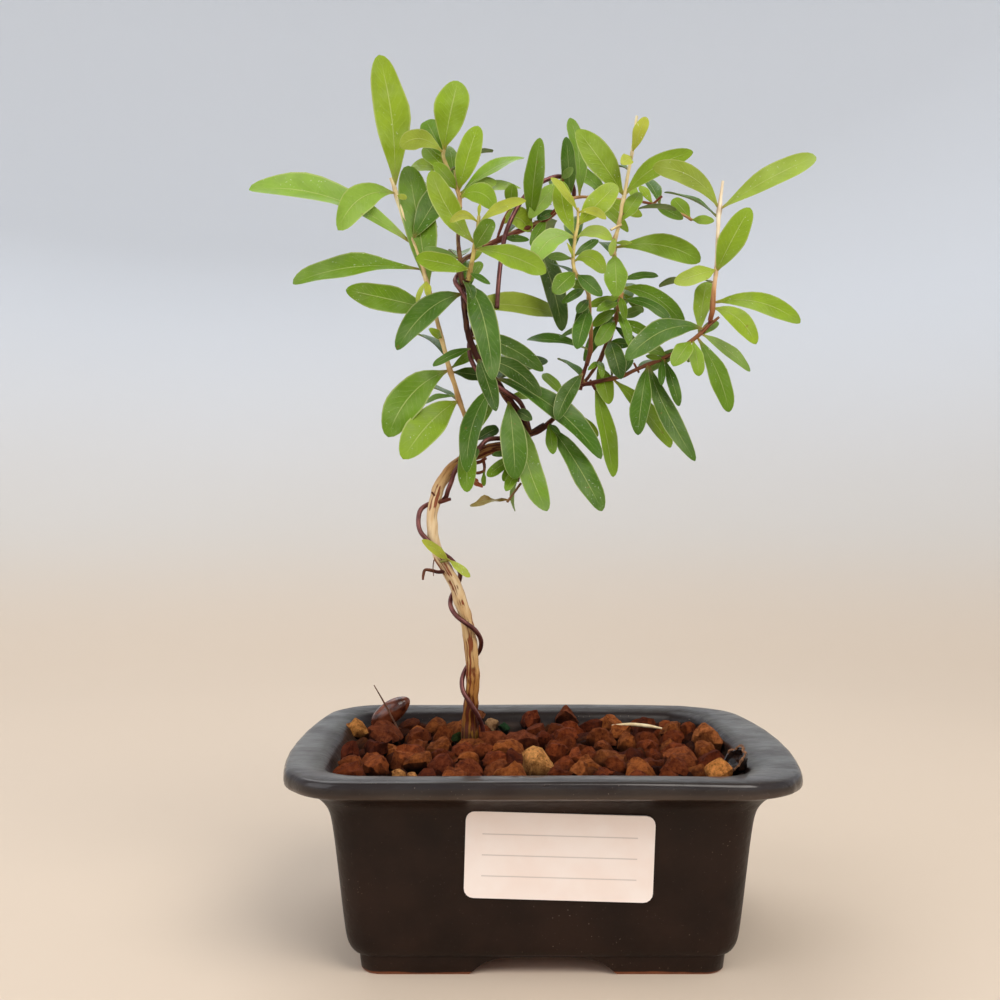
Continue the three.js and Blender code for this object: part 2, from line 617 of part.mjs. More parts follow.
// An angular lump of fired clay
function granule(centre, radius, random) {
  const lump = mergeVertices(bare(new THREE.BoxGeometry(1, 1, 1)), MERGE);
  const corners = lump.attributes.position;
  for (let i = 0; i < corners.count; i++) {
    const corner = new THREE.Vector3().fromBufferAttribute(corners, i);
    corner.setLength(radius * (1 + random(-GRANULE_JITTER, GRANULE_JITTER)));
    corners.setXYZ(i, ...corner.toArray());
  }
  lump.rotateX(random(-0.7, 0.7));
  lump.rotateY(random(-0.7, 0.7));
  lump.rotateZ(random(0, 2 * Math.PI));
  lump.translate(...centre);
  return solidOf(lump);
}

function verticalHole(x, y, radius, floor) {
  const drill = new THREE.CylinderGeometry(radius, radius, 60, 14);
  drill.rotateX(Math.PI / 2);
  drill.translate(x, y, floor + 30);
  return solidOf(drill);
}

function soil(trunkFoot, wireFoot) {
  const random = randomSource(4152);
  const wallHeights = POT_INSIDE.map(([, height]) => height).reverse();
  const between = wallHeights.filter((z) => z > SOIL_UNDERSIDE && z < SOIL_TOP);
  const heights = [SOIL_UNDERSIDE, ...between, SOIL_TOP];
  const bed = loft(heights.map((z) => planRing(insideInset(z), z, FIT_GAP)));
  const grains = [];
  const inset = insideInset(SOIL_TOP);
  const rowPitch = (GRANULE_PITCH * Math.sqrt(3)) / 2;
  const rows = Math.floor(POT_HALF_DEPTH / rowPitch);
  const columns = Math.floor(POT_HALF_WIDTH / GRANULE_PITCH);
  for (let row = -rows; row <= rows; row++) {
    for (let column = -columns; column <= columns; column++) {
      const shift = row % 2 === 0 ? 0 : GRANULE_PITCH / 2;
      const radius = random(...GRANULE_RADIUS);
      const drawn = [
        column * GRANULE_PITCH + shift + random(-GRANULE_SPREAD, GRANULE_SPREAD),
        row * rowPitch + random(-GRANULE_SPREAD, GRANULE_SPREAD),
      ];
      const [x, y] = pulledInside(drawn, inset, FIT_GAP + radius * (1 + GRANULE_JITTER));
      const moved = Math.hypot(x - drawn[0], y - drawn[1]);
      const height = SOIL_TOP + random(...GRANULE_RISE);
      if (moved < GRANULE_PITCH / 2) grains.push(granule([x, y, height], radius, random));
    }
  }
  return joined([bed, ...grains])
    .subtract(verticalHole(trunkFoot[0], trunkFoot[1], TRUNK_HOLE_RADIUS, TRUNK_HOLE_FLOOR))
    .subtract(verticalHole(wireFoot[0], wireFoot[1], WIRE_HOLE_RADIUS, WIRE_BURIED_END - 1));
}

// A point of the plan, moved inwards as far as it takes to lie this far within the outline at an inset
function pulledInside([x, y], inset, inwards) {
  const radius = Math.max(POT_CORNER - POT_CORNER_EASE * inset - inwards, 2);
  const flatX = POT_HALF_WIDTH - inset - inwards - radius;
  const flatY = POT_HALF_DEPTH - depthInset(inset) - inwards - radius;
  const outX = Math.max(Math.abs(x) - flatX, 0);
  const outY = Math.max(Math.abs(y) - flatY, 0);
  const out = Math.hypot(outX, outY);
  if (out <= radius) return [x, y];
  const keep = radius / out;
  return [x - Math.sign(x) * outX * (1 - keep), y - Math.sign(y) * outY * (1 - keep)];
}

// ---- Wood ----

// A drawn line as a smooth centre line with its radius at each drawn point
function woodLine(rows) {
  const places = rows.map(([u, v, , y]) => seen(u, v, y));
  return {
    rows,
    curve: new THREE.CatmullRomCurve3(places.map(toVector)),
    radii: rows.map(([, , thickness, y]) => sheetLength(thickness, y) / 2),
  };
}

function radiusAt(line, t) {
  const place = t * (line.radii.length - 1);
  const i = Math.min(Math.floor(place), line.radii.length - 2);
  return line.radii[i] + (line.radii[i + 1] - line.radii[i]) * (place - i);
}

// A tapering round stem along a centre line
function stem(line, sides, steps) {
  const rings = [];
  let across = null;
  for (let i = 0; i <= steps; i++) {
    const t = i / steps;
    const centre = line.curve.getPoint(t);
    const along = line.curve.getTangent(t);
    const start = across ?? new THREE.Vector3(1, 0, 0.013);
    across = start.clone().addScaledVector(along, -start.dot(along)).normalize();
    const other = new THREE.Vector3().crossVectors(along, across);
    const radius = radiusAt(line, t);
    const ring = [];
    for (let j = 0; j < sides; j++) {
      const angle = (2 * Math.PI * j) / sides;
      const point = centre.clone();
      point.addScaledVector(across, radius * Math.cos(angle));
      point.addScaledVector(other, radius * Math.sin(angle));
      ring.push(point.toArray());
    }
    rings.push(ring);
  }
  return loft(rings);
}

// ---- Leaves ----

// Where a leaf drawn from u, v leaves its node's stems: the nearest place, and the stem's radius there
function footOn(lines, u, v) {
  let best = { distance: Infinity };
  for (const { rows } of lines) {
    for (let i = 1; i < rows.length; i++) {
      const [u0, v0, , y0] = rows[i - 1];
      const [u1, v1, , y1] = rows[i];
      const du = u1 - u0;
      const dv = v1 - v0;
      const t = Math.min(Math.max(((u - u0) * du + (v - v0) * dv) / (du * du + dv * dv), 0.06), 0.94);
      const distance = Math.hypot(u - u0 - t * du, v - v0 - t * dv);
      if (distance < best.distance) {
        const thickness = rows[i][2];
        best = { distance, thickness, place: seen(u0 + t * du, v0 + t * dv, y0 + t * (y1 - y0)) };
      }
    }
  }
  return { place: best.place, radius: sheetLength(best.thickness, best.place[1]) / 2 };
}

// A blade starts between its stem's centre line and the bark
function startOf({ place, radius }, towards) {
  return add(place, times(unit(minus(towards, place)), BLADE_START * radius));
}

// Root, bend, tip, width and upper face of a drawn leaf, its tip moved in depth by bend
function drawnBlade(foot, [, , u1, v1, width, reach, bendU, bendV], bend) {
  const depth = foot.place[1] + reach + bend;
  const tip = seen(u1, v1, depth);
  const middle = mix(foot.place, tip, 0.5);
  const chord = minus(tip, foot.place);
  const length = size(chord);
  const along = times(chord, 1 / length);
  const sight = unit(minus(EYE, middle));
  const facing = unit(minus(sight, times(along, dot(sight, along))));
  const shown = sheetLength(width, middle[1]);
  const real = Math.max(shown, BLADE_SLENDER * length);
  const turn = Math.min(Math.max(Math.acos(shown / real), BLADE_TILT), BLADE_MOST_TILT);
  const edgeward = cross(along, facing);
  const lift = edgeward[2] < 0 ? -1 : 1;
  const upper = add(times(facing, Math.cos(turn)), times(edgeward, lift * Math.sin(turn)));
  const arched = add(middle, times(upper, BLADE_ARCH * length * 2));
  const drawn = bendU !== undefined;
  const control = drawn ? seen(bendU, bendV, foot.place[1] + (reach + bend) / 2) : arched;
  return { root: startOf(foot, control), control, tip, width: real, upper };
}

// The same for a leaf on the far side, its tip moved sideways by bend
function rearBlade({ foot, reach, width }, bend) {
  const tip = add(foot.place, add(reach, [bend, 0, 0]));
  const chord = minus(tip, foot.place);
  const length = size(chord);
  const along = times(chord, 1 / length);
  const sky = [0, 0, 1];
  const upper = unit(minus(sky, times(along, dot(sky, along))));
  const control = add(mix(foot.place, tip, 0.5), times(upper, BLADE_ARCH * length * 2));
  return { root: startOf(foot, control), control, tip, width, upper };
}

// Place, direction and side of a blade at a share of its length
function bladeStation(blade, t) {
  const first = mix(blade.root, blade.control, t);
  const second = mix(blade.control, blade.tip, t);
  const along = unit(minus(second, first));
  return { place: mix(first, second, t), along, side: unit(cross(blade.upper, along)) };
}

function outlineOf(blade) {
  const length = size(minus(blade.tip, blade.root));
  if (length < SMALL_BLADE) return SMALL_BLADE_OUTLINE;
  return length < LARGE_BLADE ? BLADE_OUTLINE : LARGE_BLADE_OUTLINE;
}

function halfWidthAt(blade, t) {
  const outline = outlineOf(blade);
  let i = 1;
  while (i < outline.length - 1 && outline[i][0] < t) i++;
  const [t0, w0] = outline[i - 1];
  const [t1, w1] = outline[i];
  const share = w0 + ((w1 - w0) * (t - t0)) / (t1 - t0);
  return Math.max((share * blade.width) / 2, BLADE_LEAST_HALF_WIDTH);
}

// A thin blade of even thickness, with four corners at each station
function bladeSolid(blade) {
  const rings = outlineOf(blade).map(([t]) => {
    const { place, along, side } = bladeStation(blade, t);
    const half = halfWidthAt(blade, t);
    const through = times(cross(along, side), BLADE_THICKNESS / 2);
    const left = times(side, -half);
    const right = times(side, half);
    return [
      add(place, add(left, through)),
      add(place, minus(left, through)),
      add(place, minus(right, through)),
      add(place, add(right, through)),
    ];
  });
  return bladeLoft(rings);
}

// Four-cornered rings, both broad faces split along the same diagonal
function bladeLoft(rings) {
  const faces = [];
  rings.slice(1).forEach((_, i) => {
    const a = 4 * i;
    const b = a + 4;
    faces.push(a, a + 1, b + 1, a, b + 1, b);
    faces.push(a + 1, a + 2, b + 2, a + 1, b + 2, b + 1);
    faces.push(a + 2, a + 3, b + 3, a + 2, b + 3, b + 2);
    faces.push(a + 3, a, b + 3, a, b, b + 3);
  });
  const top = 4 * (rings.length - 1);
  faces.push(0, 3, 2, 0, 2, 1);
  faces.push(top, top + 1, top + 2, top, top + 2, top + 3);
  const geometry = new THREE.BufferGeometry();
  geometry.setAttribute("position", new THREE.Float32BufferAttribute(rings.flat(2), 3));
  geometry.setIndex(faces);
  return solidOf(geometry);
}

// Points on a blade's middle and near its edges, from a share of its length to the tip
function bladePoints(blade, from) {
  const points = [];
  for (let i = 0; i <= 7; i++) {
    const t = from + ((1 - from) * i) / 7;
    const { place, side } = bladeStation(blade, t);
    const half = 0.8 * halfWidthAt(blade, t);
    points.push(place, add(place, times(side, half)), add(place, times(side, -half)));
  }
  return points;
}

function ballAround(points) {
  const centre = times(points.reduce(add), 1 / points.length);
  return { centre, radius: Math.max(...points.map((p) => size(minus(p, centre)))) };
}

function nearest(points, ball, others, otherBall) {
  if (size(minus(ball.centre, otherBall.centre)) > ball.radius + otherBall.radius + 4) return Infinity;
  let least = Infinity;
  for (const p of points) {
    for (const q of others) {
      least = Math.min(least, (p[0] - q[0]) ** 2 + (p[1] - q[1]) ** 2 + (p[2] - q[2]) ** 2);
    }
  }
  return Math.sqrt(least);
}

// Room left round a blade: how far its nearest neighbour lies beyond the room it needs
function roomRound(blade, owner, placed, wood) {
  const whole = bladePoints(blade, 0.04);
  const points = bladePoints(blade, 0.2);
  const ball = ballAround(whole);
  const outer = points.slice(6);
  let room = Infinity;
  for (const other of placed) {
    const own = other.owner === owner;
    const gap = nearest(own ? outer : points, ball, own ? other.points.slice(6) : other.points, other.ball);
    room = Math.min(room, gap - (own ? ROOM_ON_ONE_STEM : ROOM_BETWEEN_STEMS));
  }
  for (const { points: line, ball: reach, radius, owner: other } of wood) {
    if (other === owner) continue;
    const near = other.startsWith("wire") ? whole : points;
    room = Math.min(room, nearest(near, ball, line, reach) - radius - ROOM_TO_WOOD);
  }
  return room;
}

// The first bend that leaves room, or the roomiest one if it leaves at least the room asked for
function settled(makeBlade, owner, placed, wood, leastRoom = -Infinity) {
  let best = null;
  for (const bend of BENDS) {
    const blade = makeBlade(bend);
    const room = roomRound(blade, owner, placed, wood);
    if (best === null || room > best.room) best = { blade, room };
    if (room > 0) break;
  }
  if (best.room < leastRoom) return null;
  const points = bladePoints(best.blade, 0.2);
  placed.push({ owner, points, ball: ballAround(points) });
  return best.blade;
}

// Leaves on the far side of a stem: foot, reach and width of each
function rearLeaves(line, random) {
  const leaves = [];
  const count = Math.floor(line.curve.getLength() / REAR_LEAF_SPACING);
  for (let i = 1; i <= count; i++) {
    const t = i / (count + 1);
    const foot = { place: line.curve.getPoint(t).toArray(), radius: radiusAt(line, t) };
    const swing = random(-REAR_LEAF_SWING, REAR_LEAF_SWING);
    const rise = random(...REAR_LEAF_RISE);
    const length = random(...REAR_LEAF_LENGTH);
    const reach = [
      length * Math.cos(rise) * Math.sin(swing),
      length * Math.cos(rise) * Math.cos(swing),
      length * Math.sin(rise),
    ];
    leaves.push({ foot, reach, width: BLADE_SLENDER * length * random(1.05, 1.3) });
  }
  return leaves;
}

// Every leafy stem's blades, bent clear of each other and of the wood and wire of the others
function growLeaves(lines, obstacles) {
  const wood = [...obstacles];
  for (const [name, ownLines] of Object.entries(lines)) {
    for (const line of ownLines) wood.push(...woodPoints(line, name));
  }
  const placed = [];
  const blades = {};
  for (const [name, { leaves }] of Object.entries(LEAFY_STEMS)) {
    blades[name] = leaves.map((leaf) => {
      const foot = footOn(lines[name], leaf[0], leaf[1]);
      return settled((bend) => drawnBlade(foot, leaf, bend), name, placed, wood);
    });
  }
  const random = randomSource(1789);
  for (const name of REAR_LEAFY) {
    for (const leaf of rearLeaves(lines[name][0], random)) {
      const blade = settled((bend) => rearBlade(leaf, bend), name, placed, wood, 0);
      if (blade) blades[name].push(blade);
    }
  }
  return blades;
}

// A stem line as short runs of points, for keeping clear of it
function woodPoints(line, owner) {
  const pieces = [];
  const steps = Math.max(Math.ceil(line.curve.getLength() / 1.5), 2);
  for (let i = 0; i < steps; i += 6) {
    const points = [];
    for (let j = i; j <= Math.min(i + 6, steps); j++) points.push(line.curve.getPoint(j / steps).toArray());
    pieces.push({ owner, points, ball: ballAround(points), radius: radiusAt(line, i / steps) });
  }
  return pieces;
}

// ---- Wire ----

// Points of a wire that winds round a drawn line
function windingPoints(line, turns) {
  const { rows, curve } = line;
  return turns.map(([v, degrees, extra]) => {
    let i = 1;
    while (i < rows.length - 1 && rows[i][1] > v) i++;
    const t = (i - 1 + (rows[i - 1][1] - v) / (rows[i - 1][1] - rows[i][1])) / (rows.length - 1);
    const along = curve.getTangent(t).toArray();
    const right = unit(cross(along, [0, -1, 0]));
    const front = cross(right, along);
    const angle = THREE.MathUtils.degToRad(degrees);
    const distance = radiusAt(line, t) + WIRE_DIAMETER / 2 + WIRE_CLEARANCE + extra;
    const away = add(times(front, Math.cos(angle)), times(right, Math.sin(angle)));
    return add(curve.getPoint(t).toArray(), times(away, distance));
  });
}

function wire(points, steps) {
  const path = new THREE.CatmullRomCurve3(points.map(toVector), false, "centripetal");
  const corners = Array.from({ length: WIRE_SIDES }, (_, i) => {
    const angle = (2 * Math.PI * i) / WIRE_SIDES;
    return new THREE.Vector2(Math.cos(angle), Math.sin(angle)).multiplyScalar(WIRE_DIAMETER / 2);
  });
  const section = new THREE.Shape(corners);
  const tube = new THREE.ExtrudeGeometry(section, {
    steps,
    extrudePath: path,
    bevelEnabled: false,
  });
  return solidOf(tube);
}

// ---- Litter ----

// Lowered until it is FIT_GAP above the soil
function restedOn(soilSolid, makeAt) {
  const isClear = (lift) => makeAt(lift).intersect(soilSolid).volume() === 0;
  let lift = HIGHEST_DROP;
  while (lift > LOWEST_DROP && isClear(lift - DROP_STEP)) lift -= DROP_STEP;
  return makeAt(lift + FIT_GAP);
}

function seedPod(lift) {
  const { at, half, rise } = LITTER.pod;
  const body = new THREE.SphereGeometry(1, 12, 6).scale(...half);
  body.rotateY(-rise);
  body.translate(at[0], at[1], at[2] + lift);
  return solidOf(body);
}

// A cracked seed husk: a shallow cup, open upwards
function husk(lift) {
  const { at, half, wall, turn } = LITTER.husk;
  const outer = new THREE.SphereGeometry(1, 10, 6).scale(...half);
  const hollow = new THREE.SphereGeometry(1, 8, 4).scale(...half.map((h) => h - wall));
  hollow.translate(wall, 0, 1.4 * wall);
  for (const body of [outer, hollow]) body.rotateZ(turn).translate(at[0], at[1], at[2] + lift);
  return solidOf(outer).subtract(solidOf(hollow));
}

function thinRod(rows, radius, steps, lift = 0) {
  const places = rows.map(([u, v, y]) => add(seen(u, v, y), [0, 0, lift]));
  const curve = new THREE.CatmullRomCurve3(places.map(toVector));
  return stem({ curve, radii: [radius, radius * 0.9] }, STEM_SIDES, steps);
}

// ---- Assembly ----

const WOOD_BROWN = 0xa58a66;
const LEAF_GREEN = 0x6f9a3a;
const finish = (color, roughness, metalness = 0) =>
  new THREE.MeshStandardMaterial({ color, roughness, metalness, flatShading: true });

const materials = {
  glaze: finish(0x231d1c, 0.35),
  paper: finish(0xf3e6e0, 0.8),
  screen: finish(0x20201f, 0.6),
  clay: finish(0x7a3d22, 0.95),
  bark: finish(WOOD_BROWN, 0.8),
  leaf: finish(LEAF_GREEN, 0.5),
  youngLeaf: finish(0x9fc23f, 0.5),
  wire: finish(0x5a2a22, 0.3, 0.8),
  seed: finish(0x4a2416, 0.3),
  straw: finish(0xc9b48c, 0.8),
  dryLeaf: finish(0x8a5a2c, 0.8),
};

const bonsai = new THREE.Group();

function place(name, solid, material) {
  const mesh = new THREE.Mesh(geometryOf(solid), material);
  mesh.name = name;
  bonsai.add(mesh);
}

const trunkLine = woodLine(TRUNK_LINE);
const woundLine = woodLine([...TRUNK_LINE, ...WIRED_LIMB_LINE.slice(1)]);
const lines = {};
for (const [name, { stems }] of Object.entries(LEAFY_STEMS)) lines[name] = stems.map(woodLine);

const wound = windingPoints(woundLine, TRUNK_WIRE_TURNS);
const wireFoot = [wound[0][0], wound[0][1], WIRE_BURIED_END];
const trunkWire = [wireFoot, [wireFoot[0], wireFoot[1], (WIRE_BURIED_END + wound[0][2]) / 2], ...wound];
const rearWire = REAR_WIRE_LINE.map(([u, v, y]) => seen(u, v, y));

const wireObstacle = (points, owner) => {
  const curve = new THREE.CatmullRomCurve3(points.map(toVector), false, "centripetal");
  return woodPoints({ curve, radii: [WIRE_DIAMETER / 2, WIRE_DIAMETER / 2] }, owner);
};
const obstacles = [
  ...woodPoints(trunkLine, "trunk"),
  ...wireObstacle(trunkWire, "wire_trunk"),
  ...wireObstacle(rearWire, "wire_back"),
];
const blades = growLeaves(lines, obstacles);

// The trunk with its buried foot and its short forks
function trunk() {
  const foot = seen(...TRUNK_LINE[0].slice(0, 2), TRUNK_LINE[0][3]);
  const radius = trunkLine.radii[0];
  const deep = add(foot, [0, 0, -ROOT_DEPTH]);
  const above = add(foot, [0, 0, 2]);
  const buried = {
    curve: new THREE.LineCurve3(toVector(deep), toVector(above)),
    radii: [ROOT_RADIUS, radius],
  };
  const forks = TRUNK_FORKS.map((rows) => stem(woodLine(rows), STEM_SIDES + 1, rows.length));
  const steps = Math.round(1.25 * TRUNK_LINE.length);
  return joined([stem(trunkLine, TRUNK_SIDES, steps), stem(buried, TRUNK_SIDES, 2), ...forks]);
}

const trunkFoot = seen(TRUNK_LINE[1][0], TRUNK_LINE[1][1], TRUNK_LINE[1][3]);
const clay = soil(trunkFoot, wireFoot);
const { foot, knee, tip, radius: needleRadius } = LITTER.needle;
const needle = thinRod([foot, knee, tip], needleRadius, 5);
const needleHole = thinRod([foot, knee, tip], needleRadius + FIT_GAP + 0.05, 5);

place("pot", pot(), materials.glaze);
place("label", label(), materials.paper);
place("drain_screen_left", drainScreen(-DRAIN_HOLE_X), materials.screen);
place("drain_screen_right", drainScreen(DRAIN_HOLE_X), materials.screen);
const bed = clay.subtract(needleHole);
place("soil", bed, materials.clay);
place("trunk", trunk(), materials.bark);
for (const [name, ownLines] of Object.entries(lines)) {
  const sections = (line) => Math.max(Math.round(STEM_STEPS * line.rows.length), 3);
  const wood = ownLines.map((line) => stem(line, STEM_SIDES, sections(line)));
  const leafy = joined([...wood, ...blades[name].map(bladeSolid)]);
  place(name, leafy, name === "trunk_sprout" ? materials.youngLeaf : materials.leaf);
}
place("wire_trunk", wire(trunkWire, TRUNK_WIRE_STEPS), materials.wire);
place("wire_back", wire(rearWire, REAR_WIRE_STEPS), materials.wire);
place("seed_pod", restedOn(bed, seedPod), materials.seed);
place("dry_needle", needle, materials.straw);
place("husk", restedOn(bed, husk), materials.seed);
const straw = (lift) => thinRod(LITTER.straw.line, LITTER.straw.radius, 5, lift);
place("straw", restedOn(bed, straw), materials.straw);

// The origin lies under the middle of the whole plant's box, at the height of the feet
const box = new THREE.Box3().setFromObject(bonsai);
bonsai.position.set(-(box.min.x + box.max.x) / 2, -(box.min.y + box.max.y) / 2, -box.min.z);

const part = new THREE.Group();
part.name = "pomegranate_bonsai";
part.add(bonsai);

export default part;
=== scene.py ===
"""A young pomegranate bonsai in its glazed pot. Drawn in millimetres from the middle of the pot's
foot, front towards -Y, and placed in metres where the frame has the pot."""
import math
from contextlib import contextmanager

import bpy
from mathutils import Euler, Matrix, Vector, noise
from mathutils.kdtree import KDTree


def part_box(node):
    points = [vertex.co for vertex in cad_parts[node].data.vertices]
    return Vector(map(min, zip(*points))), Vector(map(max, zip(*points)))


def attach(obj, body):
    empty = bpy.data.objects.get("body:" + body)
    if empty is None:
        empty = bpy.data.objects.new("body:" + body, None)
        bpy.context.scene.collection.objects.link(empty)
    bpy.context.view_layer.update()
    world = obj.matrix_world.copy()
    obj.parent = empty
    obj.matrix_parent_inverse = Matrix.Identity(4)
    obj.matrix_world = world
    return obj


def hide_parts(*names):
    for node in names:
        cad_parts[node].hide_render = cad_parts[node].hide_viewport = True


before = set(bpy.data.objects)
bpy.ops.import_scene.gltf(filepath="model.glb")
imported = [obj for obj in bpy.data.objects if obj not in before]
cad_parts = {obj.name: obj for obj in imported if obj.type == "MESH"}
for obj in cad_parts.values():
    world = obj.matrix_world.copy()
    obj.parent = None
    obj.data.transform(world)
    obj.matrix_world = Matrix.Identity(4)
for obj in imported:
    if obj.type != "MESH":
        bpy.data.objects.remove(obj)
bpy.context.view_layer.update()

MM = 0.001
POT_LOW, POT_HIGH = (Vector(corner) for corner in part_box("pot"))
POT_PLACE = Vector(((POT_LOW.x + POT_HIGH.x) / 2, (POT_LOW.y + POT_HIGH.y) / 2, POT_LOW.z))

# ---- Sizes, millimetres ----

POT_SIZE = (135, 108)  # over the lip
FOOT_HEIGHT = 4.6
# [inset from the lip's outline, height, radius of the corners]
POT_OUTSIDE = [
    (20, FOOT_HEIGHT, 5), (18.6, 4.9, 6), (17, 7, 6.5), (16.2, 10.5, 7), (14.5, 26, 7.5), (12.9, 40, 8),
    (11.6, 43, 8.5), (9.4, 45.5, 10), (6.4, 47.2, 13), (2.6, 48.1, 15.5), (0.6, 48.5, 16), (0, 49.3, 16),
    (0, 51.4, 16), (0.5, 52.7, 16), (1.8, 53.1, 15.5),
]
POT_INSIDE = [
    (6, 53.1, 14), (10.4, 52.6, 10.5), (12.2, 50.6, 9.5), (14.2, 46.5, 9), (16.6, 41, 8.5), (18.6, 26, 8),
    (20.6, 11, 8), (22, 9, 7),
]
POT_CORNER_SEGMENTS = 8
# past this inset the front and back walls slope less than those at the sides
POT_WALL_INSET = 11.8
POT_DEPTH_EASE = 0.6
FOOT_OUTSIDE = [(21, 0, 5), (20.4, 0.5, 5.5), (19.8, FOOT_HEIGHT, 6), (19.8, 5.4, 6)]
FOOT_HOLLOW = [(21, -1, 4), (21, 6.4, 4)]
FOOT_RING_WIDTH = 8
FRONT_ARCH = 19  # half length at the ground
SIDE_ARCH = 14
ARCH_SQUARENESS = 0.45
ARCH_LEAN = 0.27  # how much shorter the gap between two feet is at its top
ARCH_SIDES = 48
DRAIN_HOLE_X = 24
DRAIN_HOLE_RADIUS = 6
DRAIN_HOLE_SIDES = 32
DRAIN_CUT = 20
LIP_START = 47
LIP_WAVE = 0.5
LIP_WAVES = (19, 15, 40, 0.6)  # along the lip, across it, how it slants, and where it starts
LIP_BACK_RISE = 0.9
# the lip's two ends: drawn in at the corners, bulging between them, and broader on the right
LIP_DRAWN_IN = 2.5
LIP_BOW = 5
LIP_BOW_REACH = 46
LIP_BOW_START = 1.2
RIGHT_LIP_EXTRA = 2.6
RIGHT_LIP_STARTS = (38, 50)
RIGHT_LIP_ENDS = (58, 64)
RIGHT_LIP_HEIGHTS = (47.2, 50.2)

LABEL_MIDDLE = (4, 31.5)
LABEL_TURN = 1.7  # degrees, clockwise
LABEL_RULES = (5.4, 0, -5.4)
LABEL_RULE_HALF = 19.5
LABEL_RULE_EDGE = (0.1, 0.2)

# [height, radius of the corners] of the bed under the granules
SOIL_BED = [(10.4, 6), (26, 7), (41, 7), (43.5, 7)]
SOIL_GAP = 0.4
SOIL_TOP = 53
DEEP_GRANULE_PITCH = 7.2
DEEP_GRANULE_SHIFT = (-0.25, 0.25)  # of the pitch
DEEP_GRANULE_RADIUS = (3.2, 4.6)
DEEP_GRANULE_HEIGHT = (44.6, 46.8)
GRANULE_RADIUS = (3.3, 5.5)
GRANULE_UNEVENNESS = (-2.4, 1.3)
GRANULE_TRIES = 3600
GRANULE_CLOSENESS = 0.78  # of two radii together
GRANULE_WALL_ROOM = 0.68  # of a radius
GRANULE_TRUNK_ROOM = 0.7
GRANULE_STRETCH = (0.84, 1.2)
GRANULE_BRIGHTNESS = (0.8, 1.2)
# the granules under the upper ones keep this share of their brightness, as painted shade
DEEP_PAINTED_SHADE_BRIGHTNESS = 0.4
GRANULE_SEED = 4152
# a granule before it is copied: how round, how often and how deep it is broken off, how lumpy
GRANULE_SHAPES = 10
UPPER_CUTS = 3
DEEP_CUTS = 2
LUMP_SIZE = 1.5
LUMP_ROUNDNESS = 0.7
LUMP_BREAKS = 8
LUMP_BREAK_REACH = (0.62, 0.88)
LUMP_SWELL = 1.06
LUMP_BULGE, LUMP_BULGES = 0.34, 1.1
LUMP_GRIT, LUMP_GRITS = 0.22, 2.7
LUMP_NOISE_SPREAD = 50
GRANULE_TONES = ("984a24", "a65a2e", "7e3e1d", "b26632", "8a421e", "9e5028", "703218")
# set down one by one: [u, v and width on the drawing sheet, colour]
GRANULE_ACCENTS = (
    (539, 768, 39, "f2b068"), (357, 731, 24, "fcb060"), (705, 741, 31, "c87a44"), (671, 733, 23, "a6602f"),
    (719, 776, 29, "f0a256"), (399, 776, 15, "f2ae68"), (413, 777, 12, "f2ae68"), (567, 721, 26, "964f2c"),
    (530, 723, 23, "864022"), (492, 741, 29, "96502e"), (523, 744, 34, "924c2c"), (440, 768, 30, "92482a"),
    (376, 769, 23, "aa5c30"), (350, 755, 27, "7a3820"), (467, 771, 28, "924a28"), (387, 737, 34, "864526"),
    (580, 772, 20, "b46a38"), (457, 738, 13, "33481e"), (504, 729, 11, "2c5030"), (492, 726, 18, "caa074"),
    (478, 716, 14, "8e5634"),
)
SET_DOWN_ROOM = 0.95  # as GRANULE_CLOSENESS, round those set down one by one
SOIL_REACH = 60
SOIL_HALVINGS = 40
SOIL_SEEN_DEPTH = 2.5

WIRE_DIAMETER = 1.4
WIRE_CLEARANCE = 0.55
WIRE_BURIED_END = 38

BLADE_SLENDER = 0.24
BLADE_TILT = 0.2
BLADE_MOST_TILT = 1.25
BLADE_ARCH = 0.07
BLADE_START = 0.5
FOOT_MARGIN = 0.06  # of a stretch of stem, where no leaf starts
BENDS = (0, -2, 2, -4, 4, -6, 6, -8, 8, -10, 10, -13, 13)
SMALL_BLADE = 11
LARGE_BLADE = 27
# the outlines of the solid leaves: [share of the length, share of the half width]
LARGE_BLADE_OUTLINE = ((0, 0.1), (0.3, 0.7), (0.58, 1), (0.88, 0.76), (1, 0.26))
BLADE_OUTLINE = ((0, 0.12), (0.36, 0.86), (0.78, 0.92), (1, 0.26))
SMALL_BLADE_OUTLINE = ((0, 0.3), (0.2, 0.4), (0.6, 1), (1, 0.2))
BLADE_THICKNESS = 0.7
BLADE_LEAST_HALF_WIDTH = 0.42
SAME_PLACE = 0.25  # a leaf's corners lie this close to those of the solid leaf that it stands for

REAR_LEAF_SPACING = 15
REAR_LEAF_LENGTH = (16, 25)
REAR_LEAF_SWING = 0.9
REAR_LEAF_RISE = (0.05, 0.75)
REAR_LEAF_BREADTH = (1.05, 1.3)
REAR_LEAF_TONE = "D"
REAR_LEAF_SEED = 1789
REAR_LEAFY = (
    "shoot_left", "shoot_top", "limb_left", "limb_back",
    "shoot_centre", "shoot_upright", "limb_right", "shoot_right",
)

